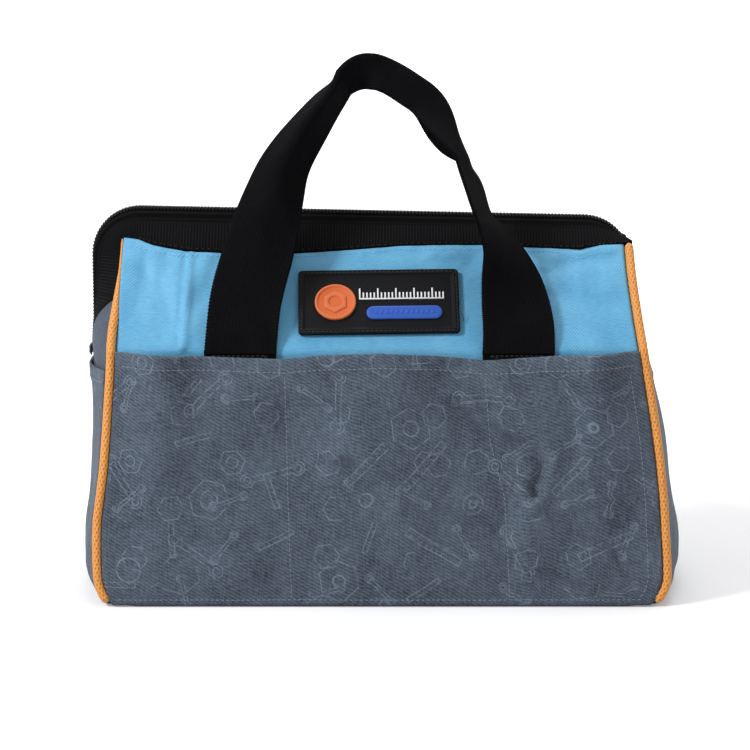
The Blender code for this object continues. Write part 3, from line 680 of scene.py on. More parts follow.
@dataclass(frozen=True)
class Cloth:
    """Woven cloth: threads, slubs, patches of painted light and shade and, if it has one, a print a little
    paler than it is.
    """

    name: str
    colour: Colour
    shade: Colour
    weave: Weave
    pitch: float = 1.7 * MM
    warp_pitch: float = 1.7 * MM
    depth: float = 0.16 * MM
    roughness: float = 0.75
    sheen: float = 0.1
    sheen_roughness: float = 0.45
    specular: float = 0.25
    # Share of the tone that follows the relief: painted light on the ridges and painted shade between them
    ribs: float = 0.0
    waver: float = 1.6 * MM
    shade_patch_scales: Colour = (38, 26, 1)
    thread_share: float = 0.4
    tone_shift: float = 0.13
    printed: Colour | None = None
    prints: tuple[ShopPrint, ...] = (ShopPrint(42 * MM, 7.0), ShopPrint(26 * MM, 3.0))
    print_strength: float = 0.62

    def threads(self, sketch: Sketch, place: Socket) -> tuple[Socket, Socket]:
        """Weaves the cloth.

        Args:
            sketch: The material that gets the nodes.
            place: The point on the flat cloth.

        Returns:
            The height of the threads, and of the uneven places in them, both from 0 to 1.
        """
        split = sketch.node("SeparateXYZ", {0: place})
        across, up = split.outputs[0], split.outputs[1]
        if self.weave is Weave.TWILL:
            slanted = sketch.plus(sketch.times(across, 0.5), sketch.times(up, 0.87))
            slanted = sketch.plus(slanted, sketch.times(sketch.blot(place, (60, 60, 1)), self.waver))
            twill = sketch.times(sketch.wave(slanted, self.pitch), sketch.blot(place, (420, 420, 1)))
            slubs = sketch.plus(sketch.blot(place, (1100, 130, 1)), sketch.blot(place, (130, 1100, 1)))
            return sketch.times(twill, 1.7), sketch.scaled(slubs, 1.3, -0.8)
        if self.weave is Weave.PLAIN:
            slanted = sketch.minus(sketch.times(across, 0.8), sketch.times(up, 0.6))
            return sketch.wave(slanted, self.pitch), sketch.blot(place, (260, 900, 1))
        weft = sketch.wave(up, self.pitch)
        warp = sketch.times(sketch.wave(across, self.warp_pitch), 0.7)
        return sketch.maths("MAXIMUM", weft, warp), sketch.blot(place, (700, 700, 1))

    def make(self) -> Finish:
        """Makes the material.

        Returns:
            The material.
        """
        sketch = Sketch(self.name, self.roughness)
        place = sketch.weave_place()
        threads, slubs = self.threads(sketch, place)
        # Broad random patches of painted light and shade, standing in for shallow dips and swells of the
        # cloth
        shade_patches = sketch.blot(place, self.shade_patch_scales, 5.0)
        uneven = 1 - self.thread_share
        # The hollows between threads take the shade colour, painted shade; the slubs vary the tone at random
        surface = sketch.plus(sketch.times(threads, self.thread_share), sketch.times(slubs, uneven))
        patch_light_shade = sketch.scaled(shade_patches, 1.5, -0.45)
        tone = sketch.plus(sketch.times(surface, 0.85), sketch.times(patch_light_shade, 0.45))
        tone = sketch.minus(tone, self.tone_shift)
        # Ridges lighter and grooves darker by the stored relief: painted light and shade
        if self.ribs:
            ribs = sketch.times(sketch.stored(), self.ribs)
            tone = sketch.plus(sketch.times(tone, 1 - self.ribs), ribs)
        tone = sketch.node("Clamp", {0: tone}).outputs[0]
        colour = sketch.blend(tone, self.shade, self.colour)
        if self.printed:
            lines = sketch.maths("MAXIMUM", *(each.lines(sketch, place) for each in self.prints))
            worn = sketch.line(sketch.blot(place, (260, 260, 1), 3.0), 0.38, 0.72)
            inked = sketch.times(lines, sketch.times(worn, self.print_strength))
            colour = sketch.blend(inked, colour, self.printed)
        sketch.feed(sketch.shader.inputs["Sheen Weight"], self.sheen)
        sketch.feed(sketch.shader.inputs["Sheen Roughness"], self.sheen_roughness)
        return sketch.finish(colour, sketch.relief(surface, self.depth), self.specular)


@dataclass(frozen=True)
class Moulded:
    """A moulded or worn hard surface: fine grain, faint marks and brighter edges."""

    name: str
    colour: Colour
    worn: Colour
    roughness: float
    metallic: float = 0.0
    grain: float = 1500.0
    marks: float = 160.0
    wear: float = 0.35
    depth: float = 0.03 * MM
    specular: float = 0.5

    def make(self) -> Finish:
        """Makes the material.

        Returns:
            The material.
        """
        sketch = Sketch(self.name, self.roughness, self.metallic)
        place = sketch.object_place()
        grain = sketch.blot(place, (self.grain,) * 3)
        marks = sketch.blot(place, (self.marks,) * 3, 5.0)
        edges = sketch.node("NewGeometry", {}).outputs["Pointiness"]
        rub = sketch.line(edges, 0.56, 0.5)
        share = sketch.plus(sketch.times(marks, self.wear), sketch.times(rub, self.wear))
        limits = {"To Min": self.roughness - 0.08, "To Max": self.roughness + 0.1}
        rough = sketch.node("MapRange", {"Value": marks, **limits})
        sketch.feed(sketch.shader.inputs["Roughness"], rough.outputs[0])
        colour = sketch.blend(share, self.colour, self.worn)
        return sketch.finish(colour, sketch.relief(grain, self.depth), self.specular)


@dataclass(frozen=True)
class Thread:
    """Cord, thread or yarn: fine fibres, and painted shade in the hollows between its strands."""

    name: str
    colour: Colour
    shade: Colour
    fibre: float = 2600.0
    patches: float = 90.0
    depth: float = 0.06 * MM
    roughness: float = 0.6
    sheen: float = 0.25
    specular: float = 0.35

    def make(self) -> Finish:
        """Makes the material.

        Returns:
            The material.
        """
        sketch = Sketch(self.name, self.roughness)
        place = sketch.object_place()
        fibres = sketch.blot(place, (self.fibre, self.fibre, self.fibre / 3))
        patches = sketch.blot(place, (self.patches,) * 3, 3.0)
        # Low points of a braid take the shade colour by the stored relief: painted shade
        tone = sketch.plus(sketch.times(sketch.stored(), 0.7), sketch.times(fibres, 0.2))
        tone = sketch.plus(tone, sketch.times(patches, 0.25))
        sketch.feed(sketch.shader.inputs["Sheen Weight"], self.sheen)
        colour = sketch.blend(tone, self.shade, self.colour)
        return sketch.finish(colour, sketch.relief(fibres, self.depth), self.specular)


@dataclass(frozen=True)
class Finishes:
    """Every material of the bag, made once."""

    slate: Finish = field(default_factory=Cloth(
        "slate_twill", (0.15, 0.192, 0.25), (0.014, 0.022, 0.036), Weave.TWILL,
        printed=(0.205, 0.262, 0.33)).make)
    slate_plain: Finish = field(default_factory=Cloth(
        "slate_twill_plain", (0.105, 0.135, 0.18), (0.024, 0.033, 0.05), Weave.TWILL).make)
    lining: Finish = field(default_factory=Cloth(
        "coated_back", (0.075, 0.082, 0.092), (0.03, 0.034, 0.042), Weave.PLAIN, roughness=0.5,
        sheen=0.05).make)
    sky: Finish = field(default_factory=Cloth(
        "sky_cloth", (0.225, 0.59, 0.85), (0.04, 0.25, 0.48), Weave.PLAIN, pitch=1.2 * MM, depth=0.14 * MM,
        roughness=0.55, specular=0.35).make)
    # The black webbing and tape paint light on their ribs and shade between them by their relief
    webbing: Finish = field(default_factory=Cloth(
        "black_webbing", (0.0115, 0.0115, 0.0135), (0.0003, 0.0003, 0.0004), Weave.WEBBING, pitch=1.35 * MM,
        depth=0.5 * MM, roughness=0.85, sheen=0.0, specular=0.04, ribs=0.4).make)
    ribbed: Finish = field(default_factory=Cloth(
        "black_ribbed_tape", (0.0115, 0.0115, 0.013), (0.0003, 0.0003, 0.0004), Weave.PLAIN, roughness=0.8,
        sheen=0.0, specular=0.04, ribs=0.75).make)
    cord: Finish = field(default_factory=Thread(
        "orange_braid", (0.93, 0.42, 0.085), (0.38, 0.075, 0.008)).make)
    grey_thread: Finish = field(default_factory=Thread(
        "grey_thread", (0.19, 0.23, 0.275), (0.07, 0.09, 0.12)).make)
    black_thread: Finish = field(default_factory=Thread(
        "black_thread", (0.018, 0.018, 0.02), (0.004, 0.004, 0.005)).make)
    blue_thread: Finish = field(default_factory=Thread(
        "blue_thread", (0.2, 0.5, 0.75), (0.09, 0.3, 0.52)).make)
    nylon: Finish = field(default_factory=Moulded(
        "zip_nylon", (0.003, 0.003, 0.004), (0.02, 0.02, 0.022), 0.3, specular=0.34).make)
    metal: Finish = field(default_factory=Moulded(
        "enamelled_metal", (0.014, 0.014, 0.015), (0.1, 0.1, 0.1), 0.36, 0.8).make)
    black_rubber: Finish = field(default_factory=Moulded(
        "black_rubber", (0.0025, 0.0028, 0.0035), (0.007, 0.0075, 0.0085), 0.6, specular=0.12).make)
    orange_rubber: Finish = field(default_factory=Moulded(
        "orange_rubber", (0.62, 0.125, 0.032), (0.74, 0.2, 0.07), 0.6, specular=0.3).make)
    blue_rubber: Finish = field(default_factory=Moulded(
        "blue_rubber", (0.022, 0.085, 0.44), (0.05, 0.14, 0.54), 0.55, specular=0.3).make)
    white_rubber: Finish = field(default_factory=Moulded(
        "white_rubber", (0.76, 0.77, 0.78), (0.88, 0.88, 0.88), 0.5).make)
    board: Finish = field(default_factory=Moulded(
        "fibre_board", (0.17, 0.16, 0.15), (0.27, 0.26, 0.24), 0.85, grain=420.0, depth=0.2 * MM).make)


# Making meshes


def new_piece(name: str, mesh: bpy.types.Mesh, finishes: Sequence[Finish]) -> Piece:
    """Puts a mesh into the scene with its materials.

    Args:
        name: Its name.
        mesh: The mesh.
        finishes: Its materials, in the order of their numbers.

    Returns:
        The piece.
    """
    mesh.shade_smooth()
    for finish in finishes:
        mesh.materials.append(finish)
    piece = bpy.data.objects.new(name, mesh)
    bpy.context.scene.collection.objects.link(piece)
    return piece


# A stitch from end to end: shares of its length, its height in thread radii, and shares of its thickness
STITCH_STEPS = ((-0.5, -1.1, 0.5), (-0.38, -0.1, 0.95), (0, 0.35, 1), (0.38, -0.1, 0.95), (0.5, -1.1, 0.5))
THREAD_SIDES = 6
# The rows of a box of stitches, by the shares of their starts and ends
BOX_ROWS = (((0.1, 0.2), (0.9, 0.2)), ((0.1, 0.8), (0.9, 0.8)))
BOX_SIDES = (((0.1, 0.2), (0.1, 0.8)), ((0.9, 0.2), (0.9, 0.8)))
BOX_CROSS = (((0.1, 0.2), (0.9, 0.8)), ((0.1, 0.8), (0.9, 0.2)))


class Rings:
    """Gathers closed rings of points into one mesh."""

    def __init__(self) -> None:
        """Starts with nothing."""
        self.points: list[Vector] = []
        self.faces: list[list[int]] = []
        self.relief: list[float] = []

    def loft(
        self,
        rings: Sequence[Sequence[Vector]],
        relief: Sequence[Sequence[float]] | None = None,
    ) -> None:
        """Joins rings of equal length one to the next and closes both ends.

        Args:
            rings: The rings, in order.
            relief: How proud each point stands, 1 where it isn't given.
        """
        first = len(self.points)
        count = len(rings[0])
        for ring in rings:
            self.points.extend(ring)
        for row in relief or [[1.0] * count] * len(rings):
            self.relief.extend(row)
        for row in range(len(rings) - 1):
            low = first + row * count
            for step in range(count):
                after = (step + 1) % count
                self.faces.append([low + step, low + after, low + count + after, low + count + step])
        last = first + (len(rings) - 1) * count
        self.faces.append([first + step for step in range(count)][::-1])
        self.faces.append([last + step for step in range(count)])

    def piece(self, name: str, finishes: Sequence[Finish]) -> Piece:
        """Makes the object, with every face turned outwards.

        Args:
            name: The piece's name.
            finishes: Its material.

        Returns:
            The piece.
        """
        mesh = bpy.data.meshes.new(name)
        mesh.from_pydata(self.points, [], self.faces)
        mesh.attributes.new(RELIEF, "FLOAT", "POINT").data.foreach_set("value", self.relief)
        shape = bmesh.new()
        shape.from_mesh(mesh)
        bmesh.ops.recalc_face_normals(shape, faces=shape.faces)
        shape.to_mesh(mesh)
        shape.free()
        return new_piece(name, mesh, finishes)


def sheet(
    name: str,
    place: Place,
    across: Sequence[float],
    up: Sequence[float],
    thickness: float,
    finishes: Sequence[Finish],
    outward: Vector,
    swell: Callable[[float, float], float] | None = None,
) -> Piece:
    """Makes a piece of cloth from its middle surface, with both faces, its edges and a map of its weave.

    Args:
        name: The piece's name.
        place: The middle surface for shares u across and v up.
        across: The shares u of the columns.
        up: The shares v of the rows.
        thickness: How thick the cloth is.
        finishes: The outer face's material and, if it differs, the inner face's.
        outward: Roughly which way the outer face looks.
        swell: How much further the outer face stands out at a place.

    Returns:
        The piece.
    """
    grid = np.array([[place(u, v) for u in across] for v in up])
    rows, columns = grid.shape[:2]
    side = np.gradient(grid, axis=1)
    rise = np.gradient(grid, axis=0)
    normals = np.cross(side, rise)
    normals /= np.maximum(np.linalg.norm(normals, axis=2, keepdims=True), 1e-12)
    flipped = float((normals @ np.array(outward)).sum()) < 0
    if flipped:
        normals = -normals
    half = np.full((rows, columns, 1), thickness / 2)
    for edge in (half[0], half[-1], half[:, 0], half[:, -1]):
        edge *= 0.6
    extra = np.zeros((rows, columns, 1))
    if swell:
        extra[:, :, 0] = [[swell(u, v) for u in across] for v in up]
    points = np.concatenate([grid + normals * (half + extra), grid - normals * half]).reshape(-1, 3)

    index = np.arange(rows * columns).reshape(rows, columns)
    a, b, c, d = index[:-1, :-1], index[:-1, 1:], index[1:, 1:], index[1:, :-1]
    outer = np.stack([a, b, c, d], axis=2).reshape(-1, 4)
    inner = outer[:, ::-1] + rows * columns
    loop = np.concatenate([index[0, :-1], index[:-1, -1], index[-1, :0:-1], index[:0:-1, 0]])
    after = np.roll(loop, -1)
    strip = np.stack([after, loop, loop + rows * columns, after + rows * columns], axis=1)
    faces = np.concatenate([outer, inner, strip])
    if flipped:
        faces = faces[:, ::-1]
    mesh = bpy.data.meshes.new(name)
    mesh.from_pydata(points.tolist(), [], faces.tolist())
    # How proud each point stands, which ribbed materials turn into painted light and shade
    proud = np.concatenate([extra.ravel() / max(extra.max(), 1e-9), np.zeros(rows * columns)])
    mesh.attributes.new(RELIEF, "FLOAT", "POINT").data.foreach_set("value", proud)

    def lengths(step: np.ndarray, axis: int) -> np.ndarray:
        """How far along the cloth each point lies, from its middle."""
        total = np.cumsum(np.linalg.norm(step, axis=2), axis=axis)
        return total - np.take(total, [total.shape[axis] // 2], axis=axis)

    flat = np.stack([lengths(side, 1), lengths(rise, 0)], axis=2).reshape(-1, 2)
    flat = np.concatenate([flat, flat])
    corners = np.empty(len(mesh.loops), int)
    mesh.loops.foreach_get("vertex_index", corners)
    mesh.uv_layers.new(name=WEAVE_MAP).data.foreach_set("uv", flat[corners].ravel())
    if len(finishes) > 1:
        mesh.polygons.foreach_set("material_index", [0] * len(outer) + [1] * (len(faces) - len(outer)))
    return new_piece(name, mesh, finishes)


def even(count: int) -> list[float]:
    """Evenly spaced shares from 0 to 1."""
    return [step / count for step in range(count + 1)]


def round_ring(centre: Vector, first: Vector, second: Vector, sides: int) -> list[Vector]:
    """A ring of points round a centre, with its two radii as vectors."""
    angles = [2 * math.pi * step / sides for step in range(sides)]
    return [centre + first * math.cos(angle) + second * math.sin(angle) for angle in angles]


def stitch_row(
    rings: Rings,
    path: Sequence[Spot],
    pitch: float = 2.7 * MM,
    radius: float = 0.25 * MM,
    filled: float = 0.74,
) -> None:
    """Adds one row of thread stitches that lie on a surface and dive into it at both ends.

    Args:
        rings: The mesh that gets them.
        path: Points of the row and the surface's normal at each.
        pitch: Distance from one stitch to the next.
        radius: Half the thread's thickness.
        filled: The share of the pitch that a stitch takes.
    """
    distances = [0.0]
    for (before, _), (after, _) in zip(path, path[1:]):
        distances.append(distances[-1] + (after - before).length)

    def at(distance: float) -> Spot:
        """Reads the row.

        Args:
            distance: How far along the row.

        Returns:
            The point and the normal there.
        """
        spot = int(np.clip(np.searchsorted(distances, distance) - 1, 0, len(path) - 2))
        span = distances[spot + 1] - distances[spot]
        share = clamp((distance - distances[spot]) / span) if span else 0.0
        low, high = path[spot], path[spot + 1]
        return low[0].lerp(high[0], share), low[1].lerp(high[1], share)

    for number in range(int(distances[-1] / pitch)):
        middle = (number + 0.5) * pitch
        row = []
        for reach, lift, width in STITCH_STEPS:
            spot, normal = at(middle + reach * filled * pitch)
            ahead, _ = at(middle + reach * filled * pitch + radius)
            tangent = (ahead - spot).normalized() if (ahead - spot).length > 0 else Vector((1, 0, 0))
            sideways = normal.cross(tangent).normalized()
            centre = spot + normal * radius * lift
            row.append(round_ring(centre, normal * radius * width, sideways * radius * width, THREAD_SIDES))
        rings.loft(row)


def on_sheet(
    place: Place,
    spots: Sequence[Pair],
    outward: Vector,
    lift: float,
) -> list[Spot]:
    """Finds points and normals on a cloth's outer face.

    Args:
        place: The cloth's middle surface.
        spots: Shares (u, v) of each point.
        outward: Roughly which way the outer face looks.
        lift: How far the outer face stands off the middle surface.

    Returns:
        Each point and the surface's normal there.
    """
    step = 0.004
    path = []
    for u, v in spots:
        u_low, v_low = min(u, 1 - step), min(v, 1 - step)
        corner = place(u_low, v_low)
        normal = (place(u_low + step, v_low) - corner).cross(place(u_low, v_low + step) - corner)
        normal.normalize()
        if normal.dot(outward) < 0:
            normal = -normal
        path.append((place(u, v) + normal * lift, normal))
    return path


def stitch_lines(
    place: Place,
    lines: Sequence[tuple[Pair, Pair]],
    points: int,
    outward: Vector,
    lift: float,
    pitch: float,
) -> Rings:
    """Sews straight rows of stitches on one piece of cloth.

    Args:
        place: The cloth's middle surface.
        lines: Shares (u, v) of the start and the end of each row.
        points: How many stretches of each row follow the cloth.
        outward: Roughly which way the outer face looks.
        lift: How far the outer face stands off the middle surface.
        pitch: Distance from one stitch to the next.

    Returns:
        The stitches.
    """
    rings = Rings()
    for start, stop in lines:
        stitch_row(rings, on_sheet(place, between(start, stop, points), outward, lift), pitch)
    return rings


def between(start: Pair, stop: Pair, count: int = 60) -> list[Pair]:
    """Evenly spaced pairs from start to stop."""
    return [(mix(start[0], stop[0], share), mix(start[1], stop[1], share)) for share in even(count)]


def sew(piece: Piece, slot: str, *nodes: str) -> Piece:
    """Hides the solids that a piece stands for.

    Args:
        piece: The piece.
        slot: Not used.
        *nodes: The solids that it stands for.

    Returns:
        The piece.
    """
    if nodes:
        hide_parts(*nodes)
    return piece


def fold_with_mouth(piece: Piece, face: Face) -> None:
    """Bakes a piece's placement into its mesh."""
    y = -face.value * BAG.mouth_axis().y
    f"{label(face)}_mouth"
    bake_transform(piece)


# Sub-assemblies


@dataclass(frozen=True)
class Fold:
    """A crease in the cloth, along a line of (x, z) millimetres, with a ridge on its left side."""

    line: Line
    width: float
    depth: float
    ridge: float = 0.0
    swell_share: float = 0.5
    reach_share: float = 6.0

    def height(self, x: float, z: float) -> float:
        """Measures how far the crease moves the cloth out at one place.

        Args:
            x: Place across the wall, in millimetres.
            z: Height, in millimetres.

        Returns:
            The distance, in metres.
        """
        nearest, side = 1e9, 1.0
        for (ax, az), (bx, bz) in zip(self.line, self.line[1:]):
            dx, dz = bx - ax, bz - az
            share = clamp(((x - ax) * dx + (z - az) * dz) / (dx * dx + dz * dz))
            off_x, off_z = x - ax - share * dx, z - az - share * dz
            distance = math.hypot(off_x, off_z)
            if distance < nearest:
                nearest, side = distance, math.copysign(1.0, dx * off_z - dz * off_x)
        if nearest > self.reach_share * self.width:
            return 0.0
        swell = self.swell_share * self.depth * hill(nearest, 0, 2.4 * self.width)
        groove = hill(nearest, 0, self.width)
        beside = hill(side * nearest, 1.7 * self.width, 1.1 * self.width)
        return (self.ridge * beside + swell - self.depth * groove) * MM


# The creases of the front pockets, the back pockets and the front blue panel
FRONT_FOLDS = (
    Fold(((57, 92), (67.7, 85.8), (80.8, 82.2), (85, 74.5), (80.2, 58.5)), 3.2, 2.4, 0.9),
    Fold(((80.2, 58.5), (91.7, 45.7), (112.2, 38), (122.2, 32.9), (127.9, 21.6), (132, 12.4)),
         3.4, 3.0, -1.8),
    Fold(((-14, 70.4), (9.7, 60.1), (30.7, 47.2), (62.2, 34.4)), 7.5, 2.2, 1.0),
    Fold(((38.7, 105), (49.2, 97.2), (57.1, 85.8)), 3.5, 1.8, 0.8),
    Fold(((-61, 127), (-56, 121), (-52, 116)), 2.6, 1.5),
    Fold(((-20, 76), (-5, 63), (4, 55)), 3.2, 1.1, 0.6),
    Fold(((-130, 92), (-112, 84), (-92, 62)), 6.0, 1.0, 0.7),
    Fold(((-128, 40), (-100, 32), (-70, 34)), 5.5, 0.9, 0.6),
    Fold(((96, 116), (104, 98), (101, 76)), 5.0, 1.0, 0.6),
    Fold(((70, 26), (84, 16), (104, 9)), 4.0, 1.4, 0.8),
)
BACK_FOLDS = (
    Fold(((-70, 88), (-86, 74), (-104, 52), (-120, 30)), 5.0, 2.0, 1.0),
    Fold(((20, 82), (4, 66), (-20, 52), (-44, 44)), 7.0, 1.8, 0.9),
    Fold(((60, 100), (78, 84), (92, 60)), 4.5, 1.6, 0.8),
    Fold(((112, 40), (92, 28), (68, 24)), 5.0, 1.2, 0.7),
)
SKY_FOLDS = (
    Fold(((-106.5, 180), (-107, 160), (-107.5, 136)), 1.6, 1.0, 1.0),
    Fold(((-137, 176), (-128, 168), (-118, 158), (-112, 146)), 6.0, 1.3, 0.9),
    Fold(((-100, 152), (-92, 166), (-86, 178)), 5.0, 0.8, 0.5),
    Fold(((94, 172), (112, 176), (128, 176)), 3.5, 0.9, 0.7),
    Fold(((97, 158), (116, 152), (133, 156)), 5.0, 0.7, 0.5),
    Fold(((52, 176), (40, 170), (22, 168)), 4.0, 0.6, 0.4),
)


@dataclass
class LongWall:
    """The inner wall and the outer panel with three pockets on the front or the back."""

    face: Face
    hem: Line
    left_divider: Line
    right_divider: Line
    folds: tuple[Fold, ...]
    cloth: float = 1.1 * MM
    panel_height: float = 128 * MM
    wall_height: float = 121 * MM
    hem_width: float = 8.5 * MM
    hem_extra: float = 0.5 * MM
    hem_fade: float = 1.5 * MM
    stitch_inset: float = 1.2 * MM
    divider_ends: Pair = (4 * MM, 124 * MM)
    strap_room: float = 3.0 * MM
    strap_ramp: Rise = Rise(88, 22)
    least_offset: Pair = (-0.3 * MM, 2.8 * MM)
    least_ramp: Rise = Rise(101, 6)
    pocket_open: float = 7.0 * MM
    openings: Line = ((0.085, 0.085), (0.515, 0.175), (0.915, 0.085))
    opening_ramp: Pair = (20 * MM, 111 * MM)
    fullness: float = 2.6 * MM
    seam_width: float = 4.5 * MM
    seam_end: Rise = Rise(104, 9)
    seam_pinch: float = 0.92
    crease_strength: float = 1.7
    crease_pinch: float = 0.6
    long_waves: Pair = (36 * MM, 2.9 * MM)
    short_waves: Pair = (13 * MM, 0.8 * MM)
    wall_waves: Pair = (32 * MM, 0.35 * MM)
    foot: float = 0.7 * MM
    foot_calm: Rise = Rise(1, 12)
    hem_calm: float = 9 * MM
    corner_lap: float = 2.2 * MM
    corner_lap_height: float = 8 * MM
    columns: int = 170
    rows: int = 80

    @property
    def outward(self) -> Vector:
        """Which way the wall looks."""
        return Vector((0, self.face.value, 0))

    def hem_height(self, x: float) -> float:
        """Height of the pockets' upper edge."""
        return along_line(self.hem, x / MM) * MM

    def divider_x(self, line: Line, z: float) -> float:
        """Where a row of stitches between two pockets runs."""
        return along_line(line, z / MM) * MM

    def offset(self, x: float, z: float, u: float) -> float:
        """Measures how far the pocket panel's middle surface stands off the wall's.

        Args:
            x: Place across, in metres.
            z: Height, in metres.
            u: The same place as a share of the way across.

        Returns:
            The distance.
        """
        edge = min(1.0, u / 0.1, (1 - u) / 0.1)
        left, right = self.divider_x(self.left_divider, z), self.divider_x(self.right_divider, z)
        sewn = max(hill(x, line, self.seam_width) for line in (left, right))
        sewn *= 1 - self.seam_end.at(z)
        opened = sum(bump(u, middle, half) for middle, half in self.openings)
        start, stretch = self.opening_ramp
        rise = max(0.0, (z - start) / stretch) ** 0.7
        bounds = (BAG.panel_x(0, z), left, right, BAG.panel_x(1, z))
        share = next(((x - a) / (b - a) for a, b in zip(bounds, bounds[1:]) if x <= b), 1.0)
        full = math.sin(math.pi * clamp(share)) * math.sin(math.pi * clamp(z / BAG.line_height))
        puffed = self.strap_room * edge * self.strap_ramp.at(z) + self.pocket_open * opened * rise
        puffed += self.fullness * full
        spot = Vector((x, self.face.value * 0.1, z))
        crease = self.crease_strength * sum(fold.height(x / MM, z / MM) for fold in self.folds)
        crease += crumple(spot, *self.long_waves)
        crease += crumple(spot, *self.short_waves)
        free = ease(min(u, 1 - u) / 0.05) * self.foot_calm.at(z)
        free *= ease((self.hem_height(x) - z) / self.hem_calm + 0.25)
        least = mix(*self.least_offset, edge * self.least_ramp.at(z))
        out = puffed * (1 - self.seam_pinch * sewn) + crease * free * (1 - self.crease_pinch * sewn)
        return BAG.fabric + BAG.gap + max(least, out)

    def pocket_place(self, u: float, v: float) -> Vector:
        """The pocket panel's middle surface.

        Args:
            u: Share across.
            v: Share up.

        Returns:
            The point.
        """
        guess = BAG.panel_x(u, mix(self.foot, BAG.wall_top(), v))
        z = mix(self.foot, self.hem_height(guess), v)
        x = BAG.panel_x(u, z)
        lap = self.corner_lap * (1 - ease((z - self.foot) / self.corner_lap_height))
        lap *= 1 - ease(min(u, 1 - u) / 0.02)
        x += -lap if u < 0.5 else lap
        return Vector((x, self.face.value * (BAG.wall_y(z) + self.offset(x, z, u)), z))

    def wall_place(self, u: float, v: float) -> Vector:
        """The inner wall's middle surface, which stops behind the upper panel's foot.

        Args:
            u: Share across.
            v: Share up.

        Returns:
            The point.
        """
        z = mix(BAG.wall_foot(), self.wall_height, v)
        x = BAG.panel_x(u, z)
        waves = crumple(Vector((x, 0, z)), *self.wall_waves)
        rest = waves * math.sin(math.pi * u) * math.sin(math.pi * v)
        return Vector((x, self.face.value * (BAG.wall_y(z) + rest), z))

    def share_at(self, x: float, z: float) -> Pair:
        """The shares (u, v) of a place on the pocket panel."""
        u = (x - BAG.panel_x(0, z)) / (BAG.panel_x(1, z) - BAG.panel_x(0, z))
        return u, (z - self.foot) / (self.hem_height(x) - self.foot)

    def build(self, finishes: Finishes) -> list[Piece]:
        """Makes the wall, the pocket panel and its rows of stitches.

        Args:
            finishes: The bag's materials.

        Returns:
            The pieces.
        """
        name = label(self.face)
        wall = sheet(f"{name}_wall_cloth", self.wall_place, even(60), even(30), self.cloth,
                     (finishes.slate_plain, finishes.lining), self.outward)
        sew(wall, "slate_fabric", f"{name}_lower_panel")

        def hem_swell(u: float, v: float) -> float:
            """The turned hem is thicker down to its row of stitches."""
            below = (1 - v) * self.panel_height
            return self.hem_extra * (1 - ease((below - self.hem_width) / self.hem_fade))

        panel = sheet(f"{name}_pocket_cloth", self.pocket_place, even(self.columns), even(self.rows),
                      self.cloth, (finishes.slate, finishes.lining), self.outward, hem_swell)
        sew(panel, "slate_fabric", f"{name}_pocket_panel")
        rings = Rings()
        lift = self.cloth / 2
        hem_v = 1 - (self.hem_width - self.stitch_inset) / self.panel_height
        rows = [
            (between((0.012, hem_v), (0.988, hem_v), 160), lift + self.hem_extra),
            (between((0.012, 0.022), (0.988, 0.022), 160), lift),
            (between((0.975, 0.03), (0.975, 0.93), 80), lift),
        ]
        for line in (self.left_divider, self.right_divider):
            heights = [mix(*self.divider_ends, share) for share in even(80)]
            rows.append(([self.share_at(self.divider_x(line, z), z) for z in heights], lift))
        for spots, stand in rows:
            stitch_row(rings, on_sheet(self.pocket_place, spots, self.outward, stand))
        thread = sew(rings.piece(f"{name}_pocket_stitches", [finishes.grey_thread]), "slate_fabric")
        for piece in (wall, panel, thread):
            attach(piece, "shell")
        return [wall, panel, thread]


